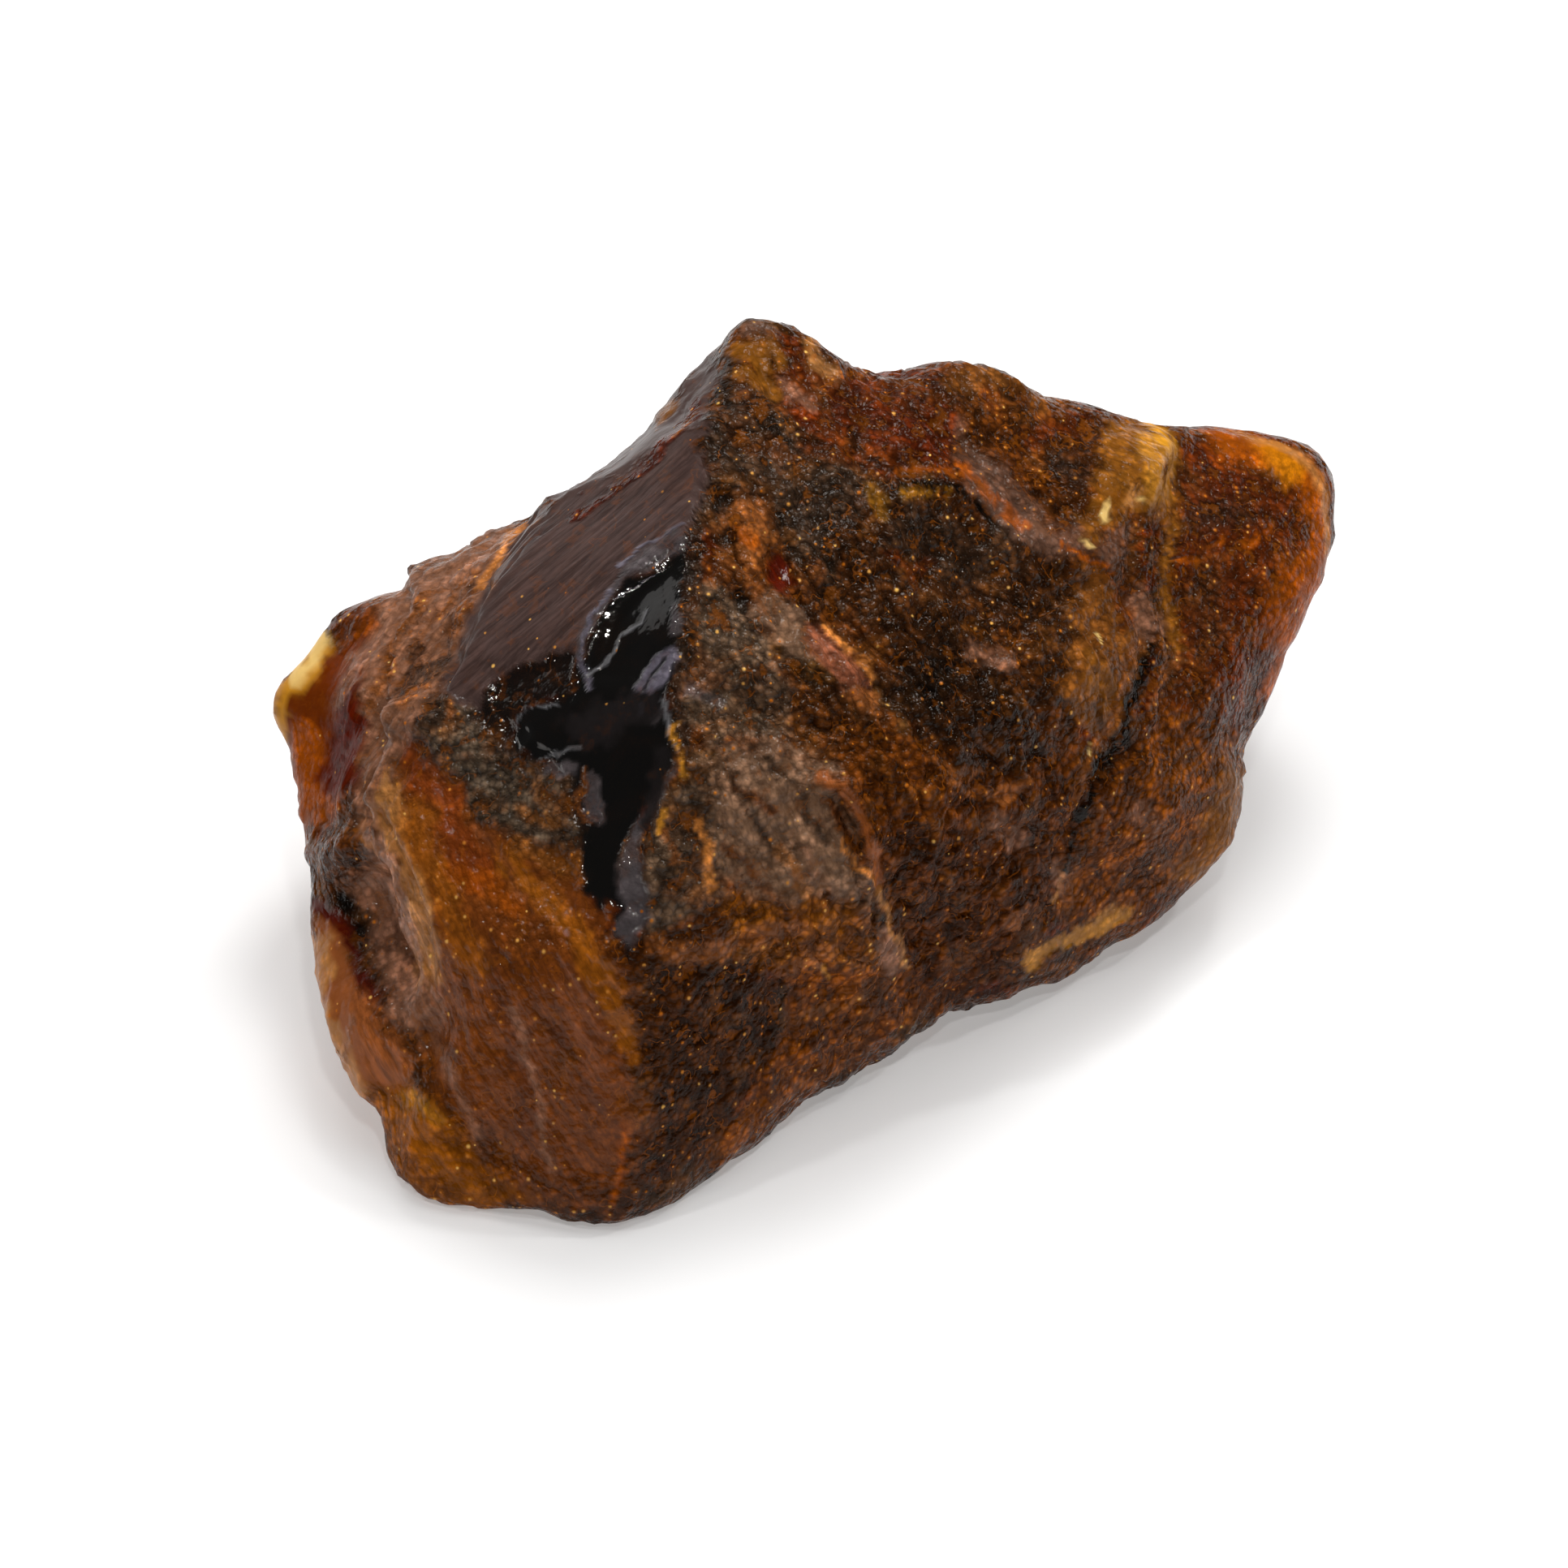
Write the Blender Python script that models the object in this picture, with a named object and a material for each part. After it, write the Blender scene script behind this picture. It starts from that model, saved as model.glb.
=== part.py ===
"""A lump of raw amber, one solid, resting on a worn flat.

Named corners are joined by flat facets, as the break left them. The facets are then worn round, except
along the ridges that broke last, and ledges, seams and hollows are cut into the skin. The skin is
star-shaped about CENTRE: each direction from there meets it once.
"""

import itertools
import math

import bmesh
import bpy
import numpy as np
from mathutils import Matrix, Vector

# The stone's size. All shapes below are in millimetres, on a stone drawn 69 mm long.
STONE_LENGTH = 0.069
DRAWN_LENGTH = 69.0
METRES = STONE_LENGTH / DRAWN_LENGTH

# The broad face leans back by LEAN, and its middle is FACE_HEIGHT above the table. Places on it are
# given as (across, up, out): across and up as sighted square to it from STATION away, and out towards
# that station.
LEAN = math.radians(40.0)
FACE_HEIGHT = 20.8
STATION = 362.0
TOWARDS_STATION = np.array([0.0, -math.cos(LEAN), math.sin(LEAN)])
CENTRE = np.array([1.0, 9.0, 15.0])

# How far the edges are worn round: everywhere, on a sharp ridge, and how wide such a ridge stays sharp.
WORN = 2.2
SHARP = 0.45
RIDGE_WIDTH = 2.6
# A ledge falls over this much either side of its path.
LEDGE_FALL = 0.7
# How many times the facets are moved out to make up for the wear.
CORNER_TURNS = 5

# How many triangles the skin keeps.
TRIANGLES = 9600

FRONT_CORNERS = {
    "skyline": [
        (-1.3, 28.6, -9), (1, 27.9, -10), (4.2, 25.9, -11), (7.2, 25.4, -13), (9.5, 26, -14),
        (13, 25.7, -15), (16.2, 24, -17), (20.2, 22.9, -19), (24.2, 21.9, -21), (28.2, 21.8, -25),
        (32, 21, -26),
    ],
    "right_lobe": [(33.6, 18.3, -25), (33.6, 14.8, -24), (32.2, 10.5, -23), (30.2, 5.8, -22), (28.7, 3, -21)],
    "right_foot": [
        (28.3, -1, -20), (27.2, -4.2, -19), (23.7, -7.7, -18), (20.2, -10, -17), (14.7, -12.8, -14),
        (9.7, -14.4, -12),
    ],
    "front_foot": [
        (4.7, -17.7, -8), (-0.3, -20.6, -4), (-3.3, -23.2, -2), (-6.8, -25.7, -0.5),
        (-11, -27.2, 0.5), (-15.3, -26.2, 0.5), (-18.3, -25.9, 0), (-21, -26, -1), (-23.6, -24.4, -1.5),
    ],
    "left_foot": [
        (-24.6, -21.2, -3), (-26.8, -18.2, -5), (-28, -14.7, -6), (-29, -10.2, -8), (-29.2, -5.5, -10),
    ],
    "left_end": [(-30, -1.7, -12), (-31, 3.3, -14), (-31.2, 5.6, -14), (-28.8, 8.6, -14), (-26.6, 11, -14)],
    "left_skyline": [
        (-23.3, 12.7, -14), (-20.3, 14.3, -14), (-16.3, 16.3, -14), (-12.3, 18.4, -14),
        (-9.6, 20.6, -13), (-7.6, 23, -12), (-5.8, 25.3, -11), (-3.3, 28, -10),
    ],
    "bevel": [(-14, 16.3, -10), (-9.3, 18.8, -7.5), (-4.4, 22.6, -3)],
    "crest": [(-5.3, 18.7, 0.5), (-6, 15.9, 2.5), (-6.3, 10.4, 6), (-6.9, 5.4, 7.6), (-6.4, 0, 8.2), (-8.3, -6.7, 8.5)],
    "keel": [(-9.4, -11.5, 8), (-9, -18, 5.5), (-8, -23, 2.5)],
    "glass_edge": [(-16, 15.6, -9), (-18, 13, -7), (-19.2, 10.5, -5), (-20.4, 7.7, -3.2), (-21.8, 5.3, -1.5)],
    "glass_foot": [(-18, 2.5, 1.5), (-14, -2.5, 5.2)],
    "shoulder": [(-22.9, 2.8, -0.8), (-24.7, -1, -0.8), (-23.5, -5.4, 0.2), (-22, -11, 0.5), (-21.2, -15.5, 0.5)],
    "waxy_face": [(-17.5, -11.5, 5), (-20.5, -18, 2), (-14.5, -21.5, 3), (-18.5, -23.5, 0.8)],
    "crevice": [(-26.5, -7, -6), (-25, -11, -3.5)],
    "left_pane": [(-27, -13, -3.5), (-25, -18, -1.5)],
    "terrace": [(-27.3, 7, -11), (-27.8, 2.5, -10), (-28.5, -2, -9.5)],
    "lip": [(-23.8, 11.4, -11), (-25.7, 6.9, -7.5), (-26, 1.8, -5.5), (-26.9, -1.8, -5)],
    "step": [(-20.8, 12.3, -9), (-22.8, 7.2, -5.5)],
    "broad_left": [
        (1.5, 20.5, -3), (1.5, 13.5, 1), (1.5, 6, 4.5), (0.5, -1.5, 6), (-2, -8, 6), (-4.5, -14.5, 4.5),
        (-4.5, -20, 1.5),
    ],
    "broad_middle": [
        (6.5, 23.5, -8), (9, 17.5, -4), (9, 11, -1), (9, 3.5, 2), (8, -3.5, 2.5), (5.5, -10, 0.5),
        (2, -16, -2),
    ],
    "broad_right": [
        (16, 20.5, -12), (16.5, 13.5, -7), (16.5, 6, -4), (15.5, -1.5, -4), (12.5, -7.5, -5),
        (10.5, -11.5, -8),
    ],
    "far_right": [(22.5, 19.5, -14), (22.5, 12.5, -11.5), (22.5, 5, -10), (21.5, -1.5, -10), (19, -6.5, -12)],
    "lobe_face": [(25.3, 17.5, -18), (25.5, 10.5, -15), (25.5, 3.5, -13.5), (29.5, 16.5, -20), (29.5, 10.5, -18)],
}

# The far side and the underside are given upright: across, back and up from the table.
REAR_CORNERS = {
    "brow": [
        (-29, 20, 11), (-21, 25, 16.5), (-12, 29, 18), (-2, 34, 27), (8, 37, 22), (18, 39, 18),
        (28, 40, 14), (34, 36, 13),
    ],
    "rear_face": [(-22, 27, 7.5), (-10, 34, 12), (2, 40, 13), (14, 41.5, 10), (25, 40, 6.5)],
    "rear_foot": [(-18, 26, 3), (-6, 32, 3.5), (6, 37, 4), (17, 38, 3)],
    "flanks": [(-28, 8, 6.5), (28, 24, 4.5)],
    "base_rim": [
        (-8, -14, -1), (-18, -13, -1), (-23, -4, -0.8), (-22, 10, -1), (-14, 23, -1), (2, 32, -1),
        (16, 32, -1), (23, 22, -1), (19, 12, -1), (8, 3, -1), (0, -6, -1),
    ],
    "base": [(-2, 10, -1.5)],
}

# The ridges that broke last, as chains of corners.
SHARP_CHAINS = ("crest", "glass_edge", "bevel", "left_skyline", "shoulder")

# Steps in the skin: a path, the height of the step and how far its low side reaches. The low side is
# to the right of the path, going from its first point to its last.
FRONT_LEDGES = {
    "lip": (
        [(-22.4, 13.4), (-23.8, 11.4), (-24.9, 9.7), (-25.7, 6.9), (-25.5, 4), (-26, 1.8), (-26.9, -1.8),
         (-26.4, -4.2)],
        1.9, 5.0,
    ),
    "glass_rim": (
        [(-14, 17.4), (-15.9, 16), (-18, 13), (-19.2, 10.5), (-20.4, 7.7), (-21.8, 5.3), (-22.9, 2.8)],
        1.1, 3.5,
    ),
    "waxy_rim": ([(-24.9, -0.6), (-25, -2), (-23.5, -5.4), (-22.4, -8.2), (-21.8, -10.6), (-21.4, -13.8)], 1.1, 2.6),
    "lobe_step": (
        [(22.5, 0), (23.3, 4.4), (24.3, 7.8), (23.8, 10.4), (23.5, 13.6), (23.6, 17.1), (24.1, 20),
         (24.2, 22)],
        1.5, 7.0,
    ),
    "pocket_lip": (
        [(7.3, 18.6), (9.4, 19), (11.9, 18), (13.9, 15.7), (15.2, 14.8), (17.1, 15), (20, 12.9),
         (20.3, 11.3)],
        0.9, 6.0,
    ),
    "fold": ([(8, -11.6), (7.1, -9.3), (6.7, -7.6), (5.7, -5.8), (5.2, -3)], 0.6, 4.0),
    "long_fold": ([(6.5, 3.5), (4.6, 7), (2.3, 10.7), (1.2, 13.2)], 0.5, 3.0),
}
# Grooves: a path, the depth and the half width. A welt has a negative depth.
FRONT_SEAMS = {
    "strip_groove": ([(22, 18), (21.9, 13), (22, 11.5), (22.7, 9), (22.2, 6.4), (21.8, 4.4)], 0.6, 0.5),
    "lobe_crack": ([(22.4, 3), (20.1, 1), (19.1, -1), (18.1, -2.9), (17.4, -4.6), (16.8, -7)], 0.8, 0.6),
    "snake_welt": ([(2.2, 0.2), (3.8, 0), (5, -1.3), (5.3, -3), (5.3, -4.7), (5.8, -5.8)], -0.6, 0.5),
    "snake_groove": ([(3, -0.9), (3.8, -2.2), (4.3, -3.9), (5, -5.2)], 0.6, 0.5),
    "summit_cleft": ([(-1.5, 27.6), (-1.3, 26), (-0.8, 24.8), (-0.2, 23.6)], 0.8, 0.5),
    "crevice": ([(-27, -4.8), (-26.6, -6.6), (-25.8, -9.6), (-25, -12), (-24.2, -14.2)], 2.6, 1.1),
    "orange_welt": ([(-3.2, 19), (-2.6, 16.5), (-1.6, 13.5), (-1.2, 10.5)], -0.6, 1.2),
    "shelf": ([(-1.8, -17.5), (4.2, -14.7), (9.5, -13.9)], -0.5, 1.2),
}
# Dents: (across, up), radius and depth.
FRONT_HOLLOWS = {
    "red_pit": ((-0.4, 13.6), 1.1, 1.0),
    "upper_pit": ((-3.5, 17.4), 0.9, 0.7),
    "middle_pit": ((-3.7, 15.5), 0.9, 0.7),
    "lower_pit": ((-2.7, 11.5), 1.0, 0.7),
    "red_slope_pit": ((4.9, 20.5), 0.9, 0.8),
    "pocket": ((11.5, 13.5), 5.0, 0.7),
    "lobe_dish": ((28.0, 13.0), 4.0, 0.6),
    "glass_scoop": ((-9.5, 5.5), 4.0, 0.6),
    "glass_dish": ((-11.0, -0.5), 3.0, 0.9),
    "terrace_scoop": ((-27.6, 2.8), 2.4, 1.0),
    "foot_dish": ((1.0, -12.5), 3.5, 0.6),
    "skyline_saddle": ((5.5, 24.5), 2.2, 0.5),
}

# The same for the far side, sighted level from behind as across and up.
REAR_LEDGES = {
    "shell_break": ([(-20, 4), (-12, 9), (-3, 8.5), (5, 14), (12, 13)], 1.3, 8.0),
    "rear_step": ([(29, 3), (22, 7), (17, 13), (12, 18)], 0.9, 5.0),
}
REAR_SEAMS = {
    "rear_crack": ([(-14, 17), (-10, 13), (-8, 7), (-3, 3)], 0.8, 0.6),
    "rear_vein": ([(6, 23), (9, 17), (16, 11)], -0.5, 0.8),
}
REAR_HOLLOWS = {
    "rear_dish": ((-4, 16), 5.5, 1.1),
    "rear_pit": ((14, 8), 2.0, 0.8),
    "low_dish": ((20, 12), 4.0, 0.8),
}

# Where the skin is a smooth break, as outlines on the front. Elsewhere it is lumpy crust.
SMOOTH_BREAKS = {
    "glassy": [
        (-4.4, 22.5), (-8, 22), (-12, 18.6), (-15.9, 16), (-18, 13), (-20.4, 7.7), (-21.8, 5.3),
        (-16, 3.6), (-13.3, 1), (-11.5, -2), (-12, -6), (-10.5, -8.5), (-8.6, -6), (-6.6, 0),
        (-6.9, 5.5), (-6.3, 10.4), (-5.3, 18.7),
    ],
    "waxy": [
        (-24.9, -0.7), (-23.5, -5.4), (-21.4, -13.8), (-20.5, -20), (-13, -24), (-10.5, -20),
        (-11.5, -12), (-15, -8), (-19.5, -3), (-22.5, 1),
    ],
    "pane": [(-28.6, -9), (-26.8, -17), (-24.3, -18), (-24.4, -13.8), (-27.5, -7.5)],
    "terrace": [(-31.5, 5.5), (-30.8, 3), (-29.3, -2.5), (-27, -2), (-26.2, 1.8), (-25.9, 8), (-28.5, 9.5)],
}

# Lumps: size across and height, on crust and on a smooth break.
LUMPS = ((12.0, 1.2, 0.7), (5.0, 0.75, 0.15), (2.4, 0.38, 0.05))


def placed(across, up, out):
    """A place on the leaning front, turned upright: across, back and up from the table."""
    nearness = 1.0 - out / STATION
    across, up = across * nearness, up * nearness
    back = up * math.sin(LEAN) - out * math.cos(LEAN)
    return (across, back, FACE_HEIGHT + up * math.cos(LEAN) + out * math.sin(LEAN))


def sighted(points):
    """The reverse of placed: where upright points lie across and up, seen from the station."""
    back, height = points[:, 1], points[:, 2] - FACE_HEIGHT
    up = back * math.sin(LEAN) + height * math.cos(LEAN)
    out = height * math.sin(LEAN) - back * math.cos(LEAN)
    return np.column_stack([points[:, 0], up]) / (1.0 - out / STATION)[:, None]


def smooth_step(low, high, value):
    share = np.clip((value - low) / (high - low), 0.0, 1.0)
    return share * share * (3.0 - 2.0 * share)


def corner_chains():
    """Every chain of corners, upright."""
    chains = {name: [placed(*corner) for corner in chain] for name, chain in FRONT_CORNERS.items()}
    chains.update(REAR_CORNERS)
    return {name: np.array(chain, float) for name, chain in chains.items()}


def facet_corners(arms):
    """Which three corners each facet joins: the hull of the corners' directions."""
    bm = bmesh.new()
    for arm in arms:
        bm.verts.new(Vector(arm).normalized())
    bm.verts.index_update()
    bmesh.ops.convex_hull(bm, input=bm.verts)
    triples = np.array([[vertex.index for vertex in face.verts] for face in bm.faces])
    bm.free()
    return triples


def facet_reach(directions, facets):
    """How far the flat facets lie from CENTRE along each direction.

    A direction is a sum of the three arms of a facet. The facet that it passes through is the one whose
    least share is greatest, and its reach is one over the sum of the shares.
    """
    shares_of = np.linalg.inv(facets.transpose(0, 2, 1))
    reach = np.empty(len(directions))
    for part in np.array_split(np.arange(len(directions)), 1 + len(directions) // 4096):
        shares = np.einsum("fij,nj->nfi", shares_of, directions[part])
        within = np.argmax(shares.min(axis=2), axis=1)
        reach[part] = 1.0 / shares[np.arange(len(part)), within].sum(axis=1)
    return reach


def along_path(points, path):
    """(distance, side, share of the way along) of each point; the side is 1 to the right of the path."""
    path = np.array(path, float)
    steps = np.diff(path, axis=0)
    runs = np.linalg.norm(steps, axis=1)
    starts = np.cumsum(runs) - runs
    distance = np.full(len(points), np.inf)
    side = np.ones(len(points))
    along = np.zeros(len(points))
    for start, step, run, before in zip(path[:-1], steps, runs, starts):
        offset = points - start
        share = np.clip(offset @ step / run**2, 0.0, 1.0)
        gap = np.linalg.norm(offset - share[:, None] * step, axis=1)
        nearer = gap < distance
        distance[nearer] = gap[nearer]
        along[nearer] = (before + share[nearer] * run) / runs.sum()
        if path.shape[1] == 2:
            side[nearer] = np.sign(step[1] * offset[nearer, 0] - step[0] * offset[nearer, 1])
    return distance, side, along


def worn_reach(directions, facets, ridges):
    """The facets' reach averaged over a small round patch, which shrinks on a sharp ridge."""
    flat = facet_reach(directions, facets)
    skin = CENTRE + directions * flat[:, None]
    to_ridge = np.min([along_path(skin, ridge)[0] for ridge in ridges], axis=0)
    patch = SHARP + (WORN - SHARP) * smooth_step(0.0, RIDGE_WIDTH, to_ridge)
    spread = (patch / flat)[:, None]
    helper = np.where(np.abs(directions[:, 2:]) < 0.9, [[0.0, 0.0, 1.0]], [[1.0, 0.0, 0.0]])
    east = np.cross(helper, directions)
    east /= np.linalg.norm(east, axis=1, keepdims=True)
    north = np.cross(directions, east)
    total, weight = flat.copy(), 1.0
    for ring, count, share in ((0.5, 6, 0.8), (1.0, 12, 0.4)):
        for turn in range(count):
            angle = math.tau * (turn + ring) / count
            aside = directions + spread * ring * (math.cos(angle) * east + math.sin(angle) * north)
            aside /= np.linalg.norm(aside, axis=1, keepdims=True)
            total += share * facet_reach(aside, facets)
            weight += share
    return total / weight


def lattice_slopes(cells, seed):
    """Three numbers from -1 to 1 for each cell of a lattice, the same for the same cell and seed."""
    mixed = (cells * np.array([73856093, 19349663, 83492791])).sum(axis=1) + seed * 2654435
    found = []
    for turn in (1, 2, 3):
        mixed = (mixed * 1103515245 + 12345 * turn) & 0x7FFFFFFF
        mixed ^= mixed >> 13
        found.append((mixed & 0xFFFF) / 32767.5 - 1.0)
    return np.column_stack(found)


def lumps(points, size, seed):
    """Smooth lumps about size apart, from -1 to 1: a slope at each lattice corner, blended between."""
    place = points / size
    cell = np.floor(place).astype(np.int64)
    within = place - cell
    blend = within**3 * (within * (within * 6.0 - 15.0) + 10.0)
    total = np.zeros(len(points))
    for corner in itertools.product((0, 1), repeat=3):
        weight = np.prod(np.where(corner, blend, 1.0 - blend), axis=1)
        slope = lattice_slopes(cell + np.array(corner), seed)
        total += weight * ((within - np.array(corner)) * slope).sum(axis=1)
    return total


def inside_share(points, outline, soft):
    """1 inside a closed outline, 0 outside, blended over soft at its edge."""
    ends = np.array(outline + outline[:1], float)
    within = np.zeros(len(points), bool)
    for (x0, y0), (x1, y1) in zip(ends[:-1], ends[1:]):
        spans = (y0 > points[:, 1]) != (y1 > points[:, 1])
        rise = np.where(spans, y1 - y0, 1.0)
        within ^= spans & (points[:, 0] < x0 + (points[:, 1] - y0) * (x1 - x0) / rise)
    depth = along_path(points, ends)[0] * np.where(within, 1.0, -1.0)
    return smooth_step(-soft, soft, depth)


def relief(places, ledges, seams, hollows):
    """What the ledges, seams and hollows of one side add to the skin, in millimetres outwards."""
    added = np.zeros(len(places))
    for path, height, reach in ledges.values():
        distance, side, along = along_path(places, path)
        ends = smooth_step(0.0, 0.15, along) * smooth_step(1.0, 0.85, along)
        low = smooth_step(-LEDGE_FALL, LEDGE_FALL, distance * side)
        added -= height * low * ends * np.exp(-((distance / reach) ** 2))
    for path, depth, width in seams.values():
        distance, _, along = along_path(places, path)
        ends = smooth_step(-0.1, 0.2, along) * smooth_step(1.1, 0.8, along)
        added -= depth * ends * np.exp(-((distance / width) ** 2))
    for place, radius, depth in hollows.values():
        distance = np.linalg.norm(places - np.array(place), axis=1)
        added -= depth * np.exp(-((distance / radius) ** 2))
    return added


def carved_reach(directions, facets, ridges):
    """How far the skin lies from CENTRE along each direction, once worn, lumpy and carved."""
    reach = worn_reach(directions, facets, ridges)
    skin = CENTRE + directions * reach[:, None]
    front = sighted(skin)
    facing = smooth_step(-0.45, -0.33, directions @ TOWARDS_STATION)
    rear = smooth_step(0.2, 0.45, directions[:, 1]) * (1.0 - facing)
    reach += facing * relief(front, FRONT_LEDGES, FRONT_SEAMS, FRONT_HOLLOWS)
    reach += rear * relief(skin[:, ::2], REAR_LEDGES, REAR_SEAMS, REAR_HOLLOWS)
    smooth = np.max([inside_share(front, outline, 0.5) for outline in SMOOTH_BREAKS.values()], axis=0)
    smooth *= facing
    for seed, (size, on_crust, on_break) in enumerate(LUMPS):
        reach += (on_crust + (on_break - on_crust) * smooth) * lumps(skin, size, seed)
    return reach


def skin_points(directions):
    """The finished skin along each direction from CENTRE, in millimetres, upright.

    Wear takes the corners back, so the facets are first moved out, in a few turns, until the carved skin
    passes through the named corners again.
    """
    chains = corner_chains()
    ridges = [chains[name] for name in SHARP_CHAINS]
    arms = np.concatenate(list(chains.values())) - CENTRE
    length = np.linalg.norm(arms, axis=1)
    arms /= length[:, None]
    triples = facet_corners(arms)
    proud = length.copy()
    for _ in range(CORNER_TURNS):
        short = length - carved_reach(arms, (arms * proud[:, None])[triples], ridges)
        proud += 0.8 * np.clip(short, -1.0, 1.0)
    facets = (arms * proud[:, None])[triples]
    return CENTRE + directions * carved_reach(directions, facets, ridges)[:, None]


def skin_mesh():
    """A fine ball with its points moved to the skin."""
    bm = bmesh.new()
    bmesh.ops.create_icosphere(bm, subdivisions=7, radius=1.0)
    directions = np.array([vertex.co for vertex in bm.verts])
    directions /= np.linalg.norm(directions, axis=1, keepdims=True)
    mesh = bpy.data.meshes.new("amber")
    bm.to_mesh(mesh)
    bm.free()
    mesh.vertices.foreach_set("co", (skin_points(directions) * METRES).ravel())
    return mesh


def thinned(mesh):
    """The same skin with about TRIANGLES triangles, most of them where it bends most."""
    draft = bpy.data.objects.new("draft", mesh)
    bpy.context.scene.collection.objects.link(draft)
    thin = draft.modifiers.new("Thin", "DECIMATE")
    thin.ratio = TRIANGLES / len(mesh.polygons)
    graph = bpy.context.evaluated_depsgraph_get()
    found = bpy.data.meshes.new_from_object(draft.evaluated_get(graph))
    bpy.data.objects.remove(draft)
    return found


def cut_flat(mesh):
    """Takes off what lies below the table and closes the cut with one flat face."""
    bm = bmesh.new()
    bm.from_mesh(mesh)
    everything = bm.verts[:] + bm.edges[:] + bm.faces[:]
    cut = bmesh.ops.bisect_plane(
        bm, geom=everything, dist=1e-6, plane_co=(0, 0, 0), plane_no=(0, 0, -1), clear_outer=True
    )
    rim = [item for item in cut["geom_cut"] if isinstance(item, bmesh.types.BMEdge)]
    bmesh.ops.edgenet_fill(bm, edges=rim)
    bmesh.ops.recalc_face_normals(bm, faces=bm.faces)
    bmesh.ops.triangulate(bm, faces=bm.faces)
    bm.to_mesh(mesh)
    bm.free()


def centre_on_table(mesh):
    """Moves the mesh so that the middle of its box stands over the origin."""
    corners = np.array([vertex.co for vertex in mesh.vertices])
    middle = (corners.min(axis=0) + corners.max(axis=0)) / 2
    mesh.transform(Matrix.Translation((-middle[0], -middle[1], 0.0)))


def amber_material():
    """Dark raw amber under a thin brown crust, glossy where it is broken."""
    material = bpy.data.materials.new("raw amber")
    material.use_nodes = True
    shader = material.node_tree.nodes["Principled BSDF"]
    shader.inputs["Base Color"].default_value = (0.085, 0.032, 0.012, 1.0)
    shader.inputs["Roughness"].default_value = 0.35
    shader.inputs["Metallic"].default_value = 0.0
    shader.inputs["IOR"].default_value = 1.54
    return material


def main():
    for old in list(bpy.data.objects):
        bpy.data.objects.remove(old)
    mesh = thinned(skin_mesh())
    cut_flat(mesh)
    centre_on_table(mesh)
    mesh.materials.append(amber_material())
    mesh.shade_smooth()
    amber = bpy.data.objects.new("amber", mesh)
    bpy.context.scene.collection.objects.link(amber)


main()
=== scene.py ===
"""A lump of raw amber on a pale studio floor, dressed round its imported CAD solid.

The stone is one closed skin worked out with numpy: named corners joined by facets and worn round, as in the
solid, and then the finer folds, furrows and crumbs of its crust and fresh breaks. Its colours are laid on
as coats, stains and strokes, each in a named finish. Shapes are in millimetres until they enter a mesh.
"""

import itertools
import math

import bmesh
import bpy
import numpy as np
from bpy.props import FloatProperty, FloatVectorProperty, PointerProperty
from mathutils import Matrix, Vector


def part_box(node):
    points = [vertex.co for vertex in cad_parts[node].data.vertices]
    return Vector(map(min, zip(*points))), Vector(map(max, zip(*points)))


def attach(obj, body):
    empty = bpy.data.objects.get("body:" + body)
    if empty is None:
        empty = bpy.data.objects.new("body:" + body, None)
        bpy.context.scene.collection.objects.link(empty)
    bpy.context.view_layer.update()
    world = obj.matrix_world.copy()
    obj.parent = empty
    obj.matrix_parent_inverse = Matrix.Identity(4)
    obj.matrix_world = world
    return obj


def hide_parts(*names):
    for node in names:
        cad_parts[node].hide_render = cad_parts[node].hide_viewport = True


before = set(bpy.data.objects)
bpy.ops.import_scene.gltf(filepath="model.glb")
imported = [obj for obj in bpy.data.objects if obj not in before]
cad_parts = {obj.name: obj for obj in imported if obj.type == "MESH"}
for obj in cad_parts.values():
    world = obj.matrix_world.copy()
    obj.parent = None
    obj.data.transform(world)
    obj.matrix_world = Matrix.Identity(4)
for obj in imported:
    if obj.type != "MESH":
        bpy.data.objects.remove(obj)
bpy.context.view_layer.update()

bl_info = {
    "name": "Raw Amber",
    "version": (1, 0, 0),
    "blender": (4, 5, 0),
    "location": "3D View > Sidebar > Amber",
    "description": "Builds a lump of raw amber, half in its crust, and a pale studio round it",
    "category": "Add Mesh",
}

MM = 0.001

# ---------------------------------------------------------------------------------------------------
# The form, as in the solid. Places on the leaning front are (across, up, out): across and up as sighted
# square to it from STATION away, and out towards that station.

LEAN = math.radians(40.0)
FACE_HEIGHT = 20.8
STATION = 362.0
ACROSS = np.array([1.0, 0.0, 0.0])
UPWARDS = np.array([0.0, math.sin(LEAN), math.cos(LEAN)])
OUTWARDS = np.array([0.0, -math.cos(LEAN), math.sin(LEAN)])
CENTRE = np.array([1.0, 9.0, 15.0])

# How far the edges are worn round: everywhere, on a sharp ridge, and how far from it that ends.
WORN = 2.2
SHARP = 0.45
RIDGE_WIDTH = 2.6

# Half of the width over which a ledge falls.
LEDGE_FALL = 0.7

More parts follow.
